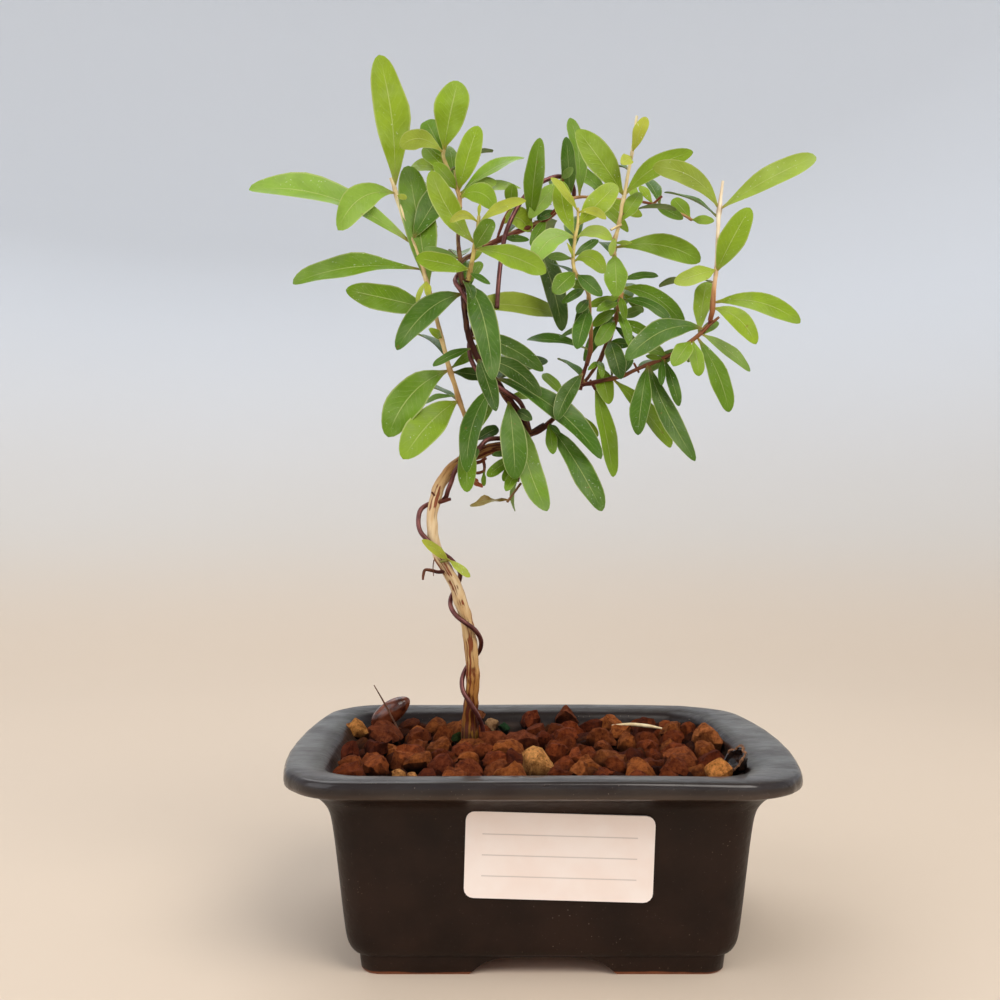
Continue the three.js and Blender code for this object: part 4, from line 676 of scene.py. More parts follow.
class Line:
    """A smooth line through points, with a radius at each."""

    def __init__(self, points, radii):
        self.points = points
        self.radii = radii

    def at(self, share):
        last = len(self.points) - 1
        place = share * last
        i = min(int(place), last - 1)
        p1, p2 = self.points[i], self.points[i + 1]
        p0 = self.points[i - 1] if i > 0 else 2 * p1 - p2
        p3 = self.points[i + 2] if i + 2 <= last else 2 * p2 - p1
        d0, d1, d2 = (max((b - a).length, LINE_GAP) ** 0.5 for a, b in ((p0, p1), (p1, p2), (p2, p3)))
        start = ((p1 - p0) / d0 - (p2 - p0) / (d0 + d1) + (p2 - p1) / d1) * d1
        end = ((p2 - p1) / d1 - (p3 - p1) / (d1 + d2) + (p3 - p2) / d2) * d1
        w = place - i
        rest = (2 * p1 - 2 * p2 + start + end) * w ** 3
        return p1 + start * w + (3 * p2 - 3 * p1 - 2 * start - end) * w * w + rest

    def along(self, share):
        low, high = max(share - LINE_STEP, 0), min(share + LINE_STEP, 1)
        return (self.at(high) - self.at(low)).normalized()

    def across(self, share):
        """The way along the line, to its right and to its front."""
        along = self.along(share)
        right = along.cross(Vector((0, -1, 0))).normalized()
        return along, right, right.cross(along)

    def radius(self, share):
        place = share * (len(self.radii) - 1)
        i = min(int(place), len(self.radii) - 2)
        return self.radii[i] + (self.radii[i + 1] - self.radii[i]) * (place - i)

    def length(self):
        stops = [self.at(i / LINE_MEASURES) for i in range(LINE_MEASURES + 1)]
        return sum((b - a).length for a, b in zip(stops, stops[1:]))


def wood_line(rows, slender=1):
    points = [seen(u, v, y) for u, v, _, y in rows]
    return Line(points, [slender * sheet_length(thickness, y) / 2 for _, _, thickness, y in rows])


# ---- Where each leaf lies ----


def foot_on(stems, u, v):
    """The nearest place on a node's stems to a drawn point, and the stem's radius there."""
    best = (math.inf, None, None)
    for rows in stems:
        for (u0, v0, _, y0), (u1, v1, thickness, y1) in zip(rows, rows[1:]):
            du, dv = u1 - u0, v1 - v0
            t = ((u - u0) * du + (v - v0) * dv) / (du * du + dv * dv)
            t = min(max(t, FOOT_MARGIN), 1 - FOOT_MARGIN)
            distance = math.hypot(u - u0 - t * du, v - v0 - t * dv)
            if distance < best[0]:
                best = (distance, seen(u0 + t * du, v0 + t * dv, y0 + t * (y1 - y0)), thickness)
    _, place, thickness = best
    return place, sheet_length(thickness, place.y) / 2


class Blade:
    """A leaf's middle line, width and upper side."""

    def __init__(self, foot, control, tip, width, upper):
        place, radius = foot
        self.root = place + (control - place).normalized() * BLADE_START * radius
        self.control = control
        self.tip = tip
        self.width = width
        self.upper = upper

    def station(self, t):
        first = self.root.lerp(self.control, t)
        second = self.control.lerp(self.tip, t)
        along = (second - first).normalized()
        return first.lerp(second, t), along, self.upper.cross(along).normalized()

    def tip_corners(self):
        """Corners of the solid leaf at its last two stations."""
        length = (self.tip - self.root).length
        if length < SMALL_BLADE:
            outline = SMALL_BLADE_OUTLINE
        else:
            outline = BLADE_OUTLINE if length < LARGE_BLADE else LARGE_BLADE_OUTLINE
        corners = []
        for t, share in outline[-2:]:
            place, along, side = self.station(t)
            half = max(share * self.width / 2, BLADE_LEAST_HALF_WIDTH)
            through = along.cross(side) * BLADE_THICKNESS / 2
            corners += [place + a * side * half + b * through for a in (-1, 1) for b in (-1, 1)]
        return corners


def square_to(along, direction):
    """The direction, turned square to along."""
    return (direction - along * direction.dot(along)).normalized()


def drawn_blade(foot, leaf, bend):
    _, _, _, u1, v1, width, reach, *bent_at = leaf
    place = foot[0]
    tip = seen(u1, v1, place.y + reach + bend)
    middle = (place + tip) / 2
    length = (tip - place).length
    along = (tip - place) / length
    facing = square_to(along, (EYE - middle).normalized())
    shown = sheet_length(width, middle.y)
    real = max(shown, BLADE_SLENDER * length)
    turn = min(max(math.acos(shown / real), BLADE_TILT), BLADE_MOST_TILT)
    edgeward = along.cross(facing)
    lift = -1 if edgeward.z < 0 else 1
    upper = facing * math.cos(turn) + edgeward * lift * math.sin(turn)
    if bent_at:
        control = seen(*bent_at, place.y + (reach + bend) / 2)
    else:
        control = middle + upper * BLADE_ARCH * length * 2
    return Blade(foot, control, tip, real, upper)


def rear_blade(leaf, bend):
    foot, reach, width = leaf
    tip = foot[0] + reach + Vector((bend, 0, 0))
    length = (tip - foot[0]).length
    upper = square_to((tip - foot[0]) / length, Vector((0, 0, 1)))
    control = (foot[0] + tip) / 2 + upper * BLADE_ARCH * length * 2
    return Blade(foot, control, tip, width, upper)


def rear_leaves(line, draw):
    """Leaves on the far side of a stem: foot, reach and width of each."""
    count = int(line.length() / REAR_LEAF_SPACING)
    leaves = []
    for i in range(1, count + 1):
        share = i / (count + 1)
        swing = draw(-REAR_LEAF_SWING, REAR_LEAF_SWING)
        rise = draw(*REAR_LEAF_RISE)
        length = draw(*REAR_LEAF_LENGTH)
        reach = Vector((math.cos(rise) * math.sin(swing), math.cos(rise) * math.cos(swing), math.sin(rise)))
        width = BLADE_SLENDER * length * draw(*REAR_LEAF_BREADTH)
        leaves.append(((line.at(share), line.radius(share)), reach * length, width))
    return leaves


def corners_of(node):
    """The solid node's corners, to be found by place."""
    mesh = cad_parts[node].data
    tree = KDTree(len(mesh.vertices))
    for vertex in mesh.vertices:
        tree.insert(drawn(vertex.co), vertex.index)
    tree.balance()
    return tree


def fitted(make_blade, tree):
    """The blade with the bend that its solid has, and how far the two lie apart."""
    def misfit(blade):
        return max(tree.find(corner)[2] for corner in blade.tip_corners())

    return min(((misfit(blade), blade) for blade in map(make_blade, BENDS)), key=lambda pair: pair[0])


def all_blades():
    """Every leaf by node, as pairs of tone and blade, where the solid plant has it."""
    blades = {}
    trees = {name: corners_of(name) for name in LEAFY_STEMS}
    for name, plant in LEAFY_STEMS.items():
        blades[name] = []
        for leaf in plant["leaves"]:
            foot = foot_on(plant["stems"], leaf[1], leaf[2])
            apart, blade = fitted(lambda bend: drawn_blade(foot, leaf, bend), trees[name])
            if apart > SAME_PLACE:
                blade = drawn_blade(foot, leaf, 0)
            blades[name].append((leaf[0], blade))
    draw = draws_from(REAR_LEAF_SEED)
    for name in REAR_LEAFY:
        for leaf in rear_leaves(wood_line(LEAFY_STEMS[name]["stems"][0]), draw):
            apart, blade = fitted(lambda bend: rear_blade(leaf, bend), trees[name])
            if apart < SAME_PLACE:
                blades[name].append((REAR_LEAF_TONE, blade))
    return blades


# ---- Modelling ----


def only(*pieces):
    """Selects these objects alone, the first one active."""
    bpy.ops.object.select_all(action="DESELECT")
    for piece in pieces:
        piece.select_set(True)
    bpy.context.view_layer.objects.active = pieces[0]


@contextmanager
def edited(piece):
    """Edit mode with the whole piece selected."""
    only(piece)
    bpy.ops.object.mode_set(mode="EDIT")
    bpy.ops.mesh.select_all(action="SELECT")
    yield
    bpy.ops.object.mode_set(mode="OBJECT")


def joined(name, pieces):
    only(*pieces)
    if len(pieces) > 1:
        bpy.ops.object.join()
    whole = bpy.context.object
    whole.name = name
    whole.data.name = name
    return whole


def copied(shape):
    """A copy of a shape, with its own mesh."""
    copy = shape.copy()
    copy.data = shape.data.copy()
    bpy.context.collection.objects.link(copy)
    return copy


def finished(piece, modifier, **settings):
    """Adds a modifier and applies it."""
    only(piece)
    made = piece.modifiers.new(modifier.title(), modifier)
    for key, value in settings.items():
        setattr(made, key, value)
    bpy.ops.object.modifier_apply(modifier=made.name)
    return piece


def closed(piece, fill=True):
    """Merges doubled corners, fills what is open and turns the faces outwards."""
    with edited(piece):
        bpy.ops.mesh.remove_doubles(threshold=DOUBLED)
        if fill:
            bpy.ops.mesh.fill_holes(sides=0)
        bpy.ops.mesh.normals_make_consistent(inside=False)
    return piece


def fixed(piece):
    """Takes a piece's place and turn into its mesh."""
    only(piece)
    bpy.ops.object.transform_apply(location=True, rotation=True, scale=True)
    return piece


def smoothed(piece, degrees):
    only(piece)
    bpy.ops.object.shade_smooth_by_angle(angle=math.radians(degrees))
    return piece


def settled(piece, finish, degrees, place_of=Vector):
    """Puts a drawn piece, with each corner moved to place_of(its own place), in the frame and finishes it."""
    for corner in piece.data.vertices:
        corner.co = placed(place_of(corner.co))
    piece.data.update()
    piece.data.materials.append(finish)
    return smoothed(piece, degrees)


def marked(piece, name, rows, kind="vector"):
    """Keeps a vector or a colour for each corner in the mesh."""
    layer = piece.data.attributes.new(name, f"FLOAT_{kind.upper()}", "POINT")
    layer.data.foreach_set(kind, [value for row in rows for value in row])


def tinted(piece, colours):
    marked(piece, "tint", [(*colour, 1) for colour in colours], "color")


def rod(name, line, per_point, sides):
    """A round rod along a line, as a mesh in the drawing's millimetres."""
    bpy.ops.curve.primitive_nurbs_path_add()
    path = bpy.context.object
    curve = path.data
    curve.splines.clear()
    steps = per_point * (len(line.points) - 1)
    spline = curve.splines.new("POLY")
    spline.points.add(steps)
    for i, point in enumerate(spline.points):
        point.co = (*line.at(i / steps), 1)
        point.radius = line.radius(i / steps)
    curve.dimensions = "3D"
    curve.bevel_depth = 1
    curve.bevel_resolution = sides // 4
    curve.use_fill_caps = True
    only(path)
    bpy.ops.object.convert(target="MESH")
    made = bpy.context.object
    made.name = name
    return grained(closed(made, fill=False), line, steps)


def grained(piece, line, steps):
    """Keeps in each corner of a rod how far it is to the right, to the front and along."""
    stops = KDTree(steps + 1)
    runs = [0.0]
    for i in range(steps + 1):
        place = line.at(i / steps)
        stops.insert(place, i)
        if i:
            runs.append(runs[-1] + (place - line.at((i - 1) / steps)).length)
    stops.balance()
    rows = []
    for corner in piece.data.vertices:
        stop, i, _ = stops.find(corner.co)
        along, right, front = line.across(i / steps)
        off = corner.co - stop
        rows.append((off.dot(right), off.dot(front), runs[i] + off.dot(along)))
    marked(piece, "grain", rows)
    return piece


def depth_inset(inset):
    """The inset at the front and back, for one at the sides."""
    return min(inset, POT_WALL_INSET) + POT_DEPTH_EASE * max(inset - POT_WALL_INSET, 0)


def ringed(profile, inwards=0):
    """A closed solid through rounded rectangles, one for each [inset, height, corner radius]."""
    bpy.ops.mesh.primitive_plane_add(size=1)
    plate = bpy.context.object
    first_corner = POT_SIZE[1] / 4
    with edited(plate):
        bpy.ops.transform.resize(value=(*POT_SIZE, 1), center_override=(0, 0, 0))
        bpy.ops.mesh.bevel(offset=first_corner, segments=POT_CORNER_SEGMENTS, affect="VERTICES")
        bpy.ops.mesh.select_all(action="SELECT")
        for _ in profile[1:]:
            bpy.ops.mesh.extrude_region_move(TRANSFORM_OT_translate={"value": (0, 0, 1)})
    for corner in plate.data.vertices:
        side_inset, height, radius = profile[round(corner.co.z)]
        place = []
        for value, side, inset in zip(corner.co, POT_SIZE, (side_inset, depth_inset(side_inset))):
            turned = (abs(value) - side / 2 + first_corner) / first_corner
            place.append(math.copysign(side / 2 - inset - inwards - radius + radius * turned, value))
        corner.co = (*place, height)
    return closed(plate)


# ---- Finishes ----


class Value:
    """A socket of a finish that takes part in sums."""

    def __init__(self, finish, socket):
        self.finish = finish
        self.socket = socket

    def worked_out(self, operation, *values):
        return self.finish.node("ShaderNodeMath", {"operation": operation}, dict(enumerate(values)))

    def __add__(self, other):
        return self.worked_out("ADD", self, other)

    def __sub__(self, other):
        return self.worked_out("SUBTRACT", self, other)

    def __rsub__(self, other):
        return self.worked_out("SUBTRACT", other, self)

    def __mul__(self, other):
        return self.worked_out("MULTIPLY", self, other)

    def __truediv__(self, other):
        return self.worked_out("DIVIDE", self, other)

    def __neg__(self):
        return self * -1

    def __abs__(self):
        return self.worked_out("ABSOLUTE", self)

    def sine(self):
        return self.worked_out("SINE", self)

    __radd__ = __add__
    __rmul__ = __mul__


class Finish:
    """A material while it is made. Sizes in it are millimetres."""

    MIX_A, MIX_B, MIX_RESULT = 6, 7, 2  # a colour Mix node's sockets

    def __init__(self, name):
        self.material = bpy.data.materials.new(name)
        self.material.use_nodes = True
        self.tree = self.material.node_tree
        self.shader = self.tree.nodes["Principled BSDF"]

    def node(self, kind, settings=None, inputs=None, output=0):
        made = self.tree.nodes.new(kind)
        for key, value in (settings or {}).items():
            setattr(made, key, value)
        for key, value in (inputs or {}).items():
            self.give(made.inputs[key], value)
        return Value(self, made.outputs[output])

    def give(self, socket, value):
        if isinstance(value, Value):
            self.tree.links.new(value.socket, socket)
        elif socket.type == "RGBA":
            socket.default_value = (*value, 1)
        else:
            socket.default_value = value

    def set(self, **inputs):
        """Sets the shader's sockets, such as Base_Color."""
        for key, value in inputs.items():
            self.give(self.shader.inputs[key.replace("_", " ")], value)

    def place(self, scale=(1, 1, 1)):
        """Object coordinates in millimetres, stretched by scale."""
        coordinates = self.node("ShaderNodeTexCoord", output="Object")
        return self.node("ShaderNodeMapping", {}, {"Vector": coordinates, "Scale": [s / MM for s in scale]})

    def parts(self, vector):
        split = self.tree.nodes.new("ShaderNodeSeparateXYZ")
        self.give(split.inputs[0], vector)
        return [Value(self, split.outputs[i]) for i in range(3)]

    def outwards(self):
        """The way that the surface faces."""
        return self.node("ShaderNodeNewGeometry", output="Normal")

    def noise(self, size, place=None, detail=3, roughness=0.5):
        """Clouds of this size, about 0.3 to 0.7."""
        place = place or self.place()
        inputs = {"Vector": place, "Scale": 1 / size, "Detail": detail, "Roughness": roughness}
        return self.node("ShaderNodeTexNoise", {}, inputs)

    def between(self, value, low, high):
        """0 below low, 1 above high, smooth between."""
        inputs = {"Value": value, "From Min": low, "From Max": high}
        return self.node("ShaderNodeMapRange", {"interpolation_type": "SMOOTHSTEP"}, inputs)

    def patches(self, size, low, high, **clouds):
        """Patches of this size: 0 where the clouds are below low, 1 where they are above high."""
        return self.between(self.noise(size, **clouds), low, high)

    def mix(self, share, first, second, blend="MIX"):
        settings = {"data_type": "RGBA", "blend_type": blend}
        inputs = {0: share, self.MIX_A: first, self.MIX_B: second}
        return self.node("ShaderNodeMix", settings, inputs, self.MIX_RESULT)

    def times(self, colour, tone):
        return self.mix(1.0, colour, tone, "MULTIPLY")

    def kept(self, name, output="Color"):
        """A colour or vector kept in the mesh."""
        return self.node("ShaderNodeAttribute", {"attribute_name": name}, {}, output)

    def bump(self, height, depth):
        inputs = {"Height": height, "Distance": depth * MM, "Strength": 1.0}
        self.set(Normal=self.node("ShaderNodeBump", {}, inputs, "Normal"))


def glaze_finish():
    """Black-brown glaze, blue-grey where the rim catches the sky, bare clay under the foot."""
    f = Finish("dark_glaze")
    dark, light, rim, rim_edge, painted_sky_sheen, painted_sheen_front_and_back, dust, dark_clay, light_clay = map(shade, GLAZE_TONES)
    _, depth, height = f.parts(f.place())
    facing = f.parts(f.outwards())[2]
    cloud = f.noise(14, detail=4)
    body = f.mix(f.between(cloud, 0.3, 0.7), dark, light)
    lip = f.between(height, LIP_START - 1, LIP_START + 2)
    # the lip's upward faces, where a blue-grey sky sheen is painted
    top = f.between(facing, 0.78, 0.99) * f.between(height, LIP_START, LIP_START + 4)
    run = f.patches(7, 0.34, 0.62, place=f.place((0.5, 1, 1)), detail=5, roughness=0.6)
    from_middle = f.node("ShaderNodeVectorMath", {"operation": "DOT_PRODUCT"}, {
        0: f.outwards(), 1: f.place((1, 1, 0))}, "Value")
    inner = f.between(-from_middle, 2, 14)
    body = f.mix(lip * (1 - top) * 0.6, body, rim)
    low_lip = lip * f.between(-height, -50.6, -49)
    body = f.mix(low_lip * (0.1 + 0.5 * cloud), body, rim_edge)
    # painted sky sheen on the lip's top, in streaks, and a darker painted sheen towards its front and back
    body = f.mix(top * (0.25 + 0.7 * run), body, f.mix(f.between(depth * depth, 900, 2400), painted_sky_sheen, painted_sheen_front_and_back))
    dusty = f.patches(16, 0.5, 0.66, detail=2)
    specks = f.patches(0.55, 0.73, 0.78, detail=1)
    body = f.mix(specks * (0.08 + 0.35 * dusty), body, dust)
    under = f.between(-facing, 0.6, 0.95) * f.between(-height, -4.8, -4.65)
    worn = f.between(0.6 + 1.6 * (cloud - 0.5) - height, -0.15, 0.25)
    body = f.mix(under + worn * 0.7, body, f.mix(f.noise(3), dark_clay, light_clay))
    sheen = (0.5 + 0.5 * run) * (1 - 0.36 * top) * (1 - 0.9 * inner)
    f.set(Base_Color=body, Roughness=0.32 + 0.25 * f.noise(3.5, detail=4), Specular_IOR_Level=0.18)
    f.set(Coat_Weight=0.08 + 0.7 * lip * sheen, Coat_Roughness=0.15)
    dents = f.patches(1.2, 0.68, 0.76, place=f.place((0.4, 1, 1)), detail=2)
    waves = (1.6 + 3 * lip) * f.noise(9, f.place((0.5, 1, 1)), detail=3)
    f.bump((1 - 0.8 * lip) * f.noise(2.4, detail=4) + waves - 1.3 * dents * lip, 0.2)
    return f.material


def paper_finish():
    """A blank sticker with faint ruled lines."""
    f = Finish("label_paper")
    dark, light, rule = map(shade, PAPER_TONES)
    turned = f.node("ShaderNodeMapping", {"vector_type": "TEXTURE"}, {
        "Vector": f.place(),
        "Location": (POT_PLACE.x / MM + LABEL_MIDDLE[0], 0, LABEL_MIDDLE[1]),
        "Rotation": (0, math.radians(LABEL_TURN), 0),
    })
    across, _, up = f.parts(turned)
    lines = 0
    for height in LABEL_RULES:
        lines = lines + (1 - f.between(abs(up - height), *LABEL_RULE_EDGE))
    lines = lines * (1 - f.between(abs(across), LABEL_RULE_HALF, LABEL_RULE_HALF + LABEL_RULE_EDGE[1]))
    f.set(Base_Color=f.mix(lines * 0.5, f.mix(f.patches(9, 0.3, 0.7), dark, light), rule))
    f.set(Roughness=0.5 + 0.1 * f.noise(2))
    f.bump(f.noise(0.5), 0.02)
    return f.material


def mesh_plastic_finish():
    f = Finish("screen_plastic")
    f.set(Base_Color=f.mix(f.noise(4), *map(shade, PLASTIC_TONES)), Roughness=0.4 + 0.2 * f.noise(1.5))
    return f.material


def granule_finish():
    """Fired clay granules, each with its own colour, darkened by painted shade low down, underneath and in
    their pits.
    """
    f = Finish("fired_clay")
    dull, pale, pit, deep, underneath, plain = map(shade, CLAY_TONES)
    own = f.kept("tint")
    # painted shade between the granules, deeper down
    depth = f.between(f.parts(f.place())[2] + 3 * f.noise(6), SOIL_TOP - 6, SOIL_TOP + 0.2)
    # painted shade on faces that turn away from above
    turned_up = f.between(f.parts(f.outwards())[2], -0.7, 0.5)
    mottle = f.patches(1.9, 0.32, 0.68, detail=6, roughness=0.7)
    # painted shade in the pits
    pits = f.patches(0.8, 0.6, 0.68, detail=3, roughness=0.6)
    colour = f.times(own, f.mix(mottle, dull, pale))
    colour = f.mix(pits * 0.6, colour, f.times(own, pit))
    colour = f.times(colour, f.mix(depth, deep, plain))
    colour = f.times(colour, f.mix(turned_up, underneath, plain))
    f.set(Base_Color=colour, Roughness=0.88 + 0.1 * mottle, Specular_IOR_Level=0.1)
    f.bump(f.noise(2.1, detail=8, roughness=0.85) - 0.3 * pits, 2.2)
    return f.material


def bark_finish(name, streaked, weathered=0):
    """Smooth young bark with thin darker streaks that run along the stem, more of them low down."""
    f = Finish(name)
    dull, plain, streak, fleck = map(shade, BARK_TONES)
    own = f.kept("tint")
    across, front, along = f.parts(f.kept("grain", "Vector"))

    def grain(size, run, detail=3):
        """Noise of this size across the stem, drawn out to run millimetres along it."""
        place = f.node("ShaderNodeCombineXYZ", {}, {0: across / size, 1: front / size, 2: along / run})
        inputs = {"Vector": place, "Scale": 1, "Detail": detail, "Distortion": 0.5}
        return f.node("ShaderNodeTexNoise", {}, inputs)

    worn = f.patches(7, 0.42, 0.58, detail=2)
    low = weathered * (1 - f.between(along, *WEATHERED_UP_TO))
    streaks = f.between(grain(0.85, 20, 5) + 0.12 * worn + low, 0.6, 0.66)
    dulled = f.between(grain(2.4, 9), 0.35, 0.65)
    flecks = f.between(grain(0.6, 1.4), 0.7, 0.75)
    colour = f.times(own, f.mix(dulled, dull, plain))
    colour = f.mix(streaks * streaked, colour, f.times(own, streak))
    colour = f.mix(flecks * 0.6 * streaked, colour, f.times(own, fleck))
    f.set(Base_Color=colour, Roughness=0.55 + 0.2 * dulled, Specular_IOR_Level=0.3)
    f.bump(grain(0.7, 8) - 0.6 * streaks, 0.3)
    return f.material


def leaf_finish(name):
    """Glossy leaf with a thin pale midrib, greyer underneath."""
    f = Finish(name)
    dull, plain, vein, midrib, margin, dust, brown, underside, bloom_and_painted_sheen = map(shade, BLADE_TONES)
    across, along, side = f.parts(f.kept("leaf_place", "Vector"))
    from_rib = abs(across)
    patch = f.patches(5, 0.3, 0.7)
    colour = f.times(f.kept("tint"), f.mix(patch, dull, plain))
    vein_run = along * LEAF_VEINS - from_rib * 2.4 + f.noise(3) * 0.8
    veins = f.between((vein_run * (2 * math.pi)).sine(), 0.6, 1.0)
    veins = veins * (1 - f.between(from_rib, 0.5, 0.95))
    rib = (1 - f.between(from_rib, 0.015, 0.055)) * (1 - f.between(along, 0.72, 0.98))
    dusty = f.patches(11, 0.48, 0.62, detail=2)
    under = f.between(-side, 0.05, 0.5)
    for share, tone in (
        (veins * 0.035, vein),
        (rib * 0.32, midrib),
        (f.between(from_rib, 0.88, 0.97) * 0.36, margin),
        (f.patches(0.55, 0.7, 0.77, detail=1) * (0.1 + 0.4 * dusty), dust),
        (f.patches(2.6, 0.71, 0.77) * 0.55, brown),
        (under * 0.35, underside),
        # pale patches: partly a waxy coat, partly a painted sheen
        (f.patches(9, 0.45, 0.7) * 0.12, bloom_and_painted_sheen),
    ):
        colour = f.mix(share, colour, tone)
    f.set(Base_Color=colour, Roughness=0.38 + 0.2 * patch + 0.2 * under, Specular_IOR_Level=0.26)
    f.bump((1 - rib) * 0.5 - veins * 0.15 + 0.8 * f.noise(2.4, detail=4), 0.16)
    return f.material


def wire_finish():
    f = Finish("training_wire")
    worn = f.patches(2.5, 0.35, 0.7, detail=4)
    f.set(Base_Color=f.mix(worn, *map(shade, WIRE_TONES)), Metallic=0.6, Roughness=0.3 + 0.15 * worn)
    f.bump(f.noise(0.8), 0.02)
    return f.material


def plain_finish(name, tones, roughness, grain=2.0, depth=0.1):
    """Two tones in clouds over a lightly grained surface."""
    f = Finish(name)
    cloud = f.patches(grain, 0.3, 0.7, detail=4)
    f.set(Base_Color=f.mix(cloud, *map(shade, tones)), Roughness=roughness + 0.12 * cloud)
    f.bump(f.noise(grain / 3), depth)
    return f.material


def floor_finish():
    """One tone on the ground, another above it, and a cool one up the sweep."""
    f = Finish("pale_floor")
    ground, low, high = map(shade, FLOOR_TONES)
    height = f.parts(f.place())[2]
    rise = f.between(height + FLOOR_CLOUD_RISE * f.noise(FLOOR_CLOUD), *FLOOR_COOLS)
    low = f.mix(f.between(height, *FLOOR_LIFTS), ground, low)
    f.set(Base_Color=f.mix(rise, low, high), Roughness=0.8, Specular_IOR_Level=0.2)
    return f.material


# ---- Pot ----


def arch(half_length, length, turn):
    """A flattened bar that cuts the gap between two feet, rounded at its top."""
    bpy.ops.mesh.primitive_cylinder_add(vertices=ARCH_SIDES, radius=1, depth=length)
    bar = bpy.context.object
    for corner in bar.data.vertices:
        across, up = (math.copysign(abs(value) ** ARCH_SQUARENESS, value) for value in corner.co.xy)
        corner.co = (across * half_length * (1 - ARCH_LEAN * up), corner.co.z, up * FOOT_HEIGHT)
    bar.rotation_euler.z = turn
    return closed(fixed(bar))


def without(whole, cutter):
    """Cuts one solid away from another."""
    finished(whole, "BOOLEAN", object=cutter, operation="DIFFERENCE", solver="EXACT")
    bpy.data.objects.remove(cutter)
    return whole


def foot_ring():
    """The low ring that the pot stands on, open under its four sides."""
    ring = ringed(FOOT_OUTSIDE)
    without(ring, ringed(FOOT_HOLLOW, FOOT_RING_WIDTH))
    without(ring, arch(FRONT_ARCH, POT_SIZE[1], 0))
    without(ring, arch(SIDE_ARCH, POT_SIZE[0], math.pi / 2))
    return ring


def ramp(value, low, high):
    """0 below low, 1 above high, straight between."""
    return min(1, max(0, (value - low) / (high - low)))


def lip_shift(p):
    """How far to the right a place on the lip lies from where it would on a straight-sided one."""
    lip = ramp(p.z, LIP_START, LIP_START + LIP_BOW_START)
    bow = LIP_BOW * max(0, 1 - (p.y / LIP_BOW_REACH) ** 2) - LIP_DRAWN_IN
    inner = ramp(p.x, *RIGHT_LIP_STARTS) * (1 - ramp(p.x, *RIGHT_LIP_ENDS)) * ramp(p.z, *RIGHT_LIP_HEIGHTS)
    return lip * bow * p.x / POT_SIZE[0] * 2 - RIGHT_LIP_EXTRA * inner


def hand_made(p):
    """The lip dips and rises a little and bulges at its ends, as on a pressed pot."""
    rise = max(0, (p.z - LIP_START) / (POT_OUTSIDE[-1][1] - LIP_START))
    along, across, slant, start = LIP_WAVES
    dip = LIP_WAVE * rise * (math.sin(p.x / along + start) + math.sin(p.y / across + p.x / slant)) / 2
    lift = LIP_BACK_RISE * rise * max(0, 2 * p.y / POT_SIZE[1])
    return p + Vector((lip_shift(p), 0, dip + lift))


def pot():
    wall = finished(ringed(POT_OUTSIDE + POT_INSIDE), "SUBSURF", levels=2, render_levels=2)
    for side in (-1, 1):
        place = (side * DRAIN_HOLE_X, 0, FOOT_HEIGHT)
        bpy.ops.mesh.primitive_cylinder_add(
            vertices=DRAIN_HOLE_SIDES, radius=DRAIN_HOLE_RADIUS, depth=DRAIN_CUT, location=place)
        without(wall, fixed(bpy.context.object))
    return settled(joined("glazed_pot", [wall, foot_ring()]), glaze_finish(), 50, hand_made)


# ---- Soil ----


def inside_at(height):
    """Inset and corner radius of the pot's inner wall."""
    for (inset, z, radius), (next_inset, next_z, next_radius) in zip(POT_INSIDE, POT_INSIDE[1:]):
        if z >= height >= next_z:
            share = (z - height) / (z - next_z)
            return inset + (next_inset - inset) * share, radius + (next_radius - radius) * share
    return POT_INSIDE[-1][0], POT_INSIDE[-1][2]


def room_to_wall(place):
    """How far a place lies inside the pot's inner wall."""
    side_inset, radius = inside_at(place.z)
    x = place.x - lip_shift(Vector((place.x, place.y, SOIL_TOP)))
    dx = abs(x) - (POT_SIZE[0] / 2 - side_inset - radius)
    dy = abs(place.y) - (POT_SIZE[1] / 2 - depth_inset(side_inset) - radius)
    if dx > 0 and dy > 0:
        return radius - math.hypot(dx, dy)
    return radius - max(dx, dy)


def granule_shapes(cuts, draw):
    """Broken lumps about one unit in radius, with a few flat sides."""
    shapes = []
    for _ in range(GRANULE_SHAPES):
        bpy.ops.mesh.primitive_cube_add(size=LUMP_SIZE)
        lump = bpy.context.object
        with edited(lump):
            bpy.ops.mesh.subdivide(number_cuts=cuts)
            bpy.ops.transform.tosphere(value=LUMP_ROUNDNESS)
        breaks = [(random_direction(draw), draw(*LUMP_BREAK_REACH)) for _ in range(LUMP_BREAKS)]
        offset = Vector((draw(0, LUMP_NOISE_SPREAD), 0, 0))
        for corner in lump.data.vertices:
            place = corner.co * (LUMP_SWELL + LUMP_BULGE * noise.noise(corner.co * LUMP_BULGES + offset))
            for direction, distance in breaks:
                place -= direction * max(0, place.dot(direction) - distance)
            corner.co = place * (1 + LUMP_GRIT * noise.noise(corner.co * LUMP_GRITS + offset))
        shapes.append(lump)
    return shapes


def random_direction(draw):
    return Vector([draw(-1, 1) for _ in range(3)]).normalized()


def granule(shape, place, radius, draw):
    """A copy of a lump, turned and stretched."""
    lump = copied(shape)
    turn = Euler([draw(0, 2 * math.pi) for _ in range(3)]).to_matrix()
    stretch = Vector([radius * draw(*GRANULE_STRETCH) for _ in range(3)])
    for corner in lump.data.vertices:
        corner.co = place + turn @ (corner.co * stretch)
    return lump


def deep_granules(draw):
    """Places and radii of the granules that fill the gaps under the upper ones."""
    lumps = []
    across, down = (int(side / DEEP_GRANULE_PITCH / 2) + 1 for side in POT_SIZE)
    for i in range(-across, across + 1):
        for j in range(-down, down + 1):
            x = (i + 0.5 * (j % 2) + draw(*DEEP_GRANULE_SHIFT)) * DEEP_GRANULE_PITCH
            y = (j + draw(*DEEP_GRANULE_SHIFT)) * DEEP_GRANULE_PITCH
            lumps.append((Vector((x, y, draw(*DEEP_GRANULE_HEIGHT))), draw(*DEEP_GRANULE_RADIUS)))
    return lumps


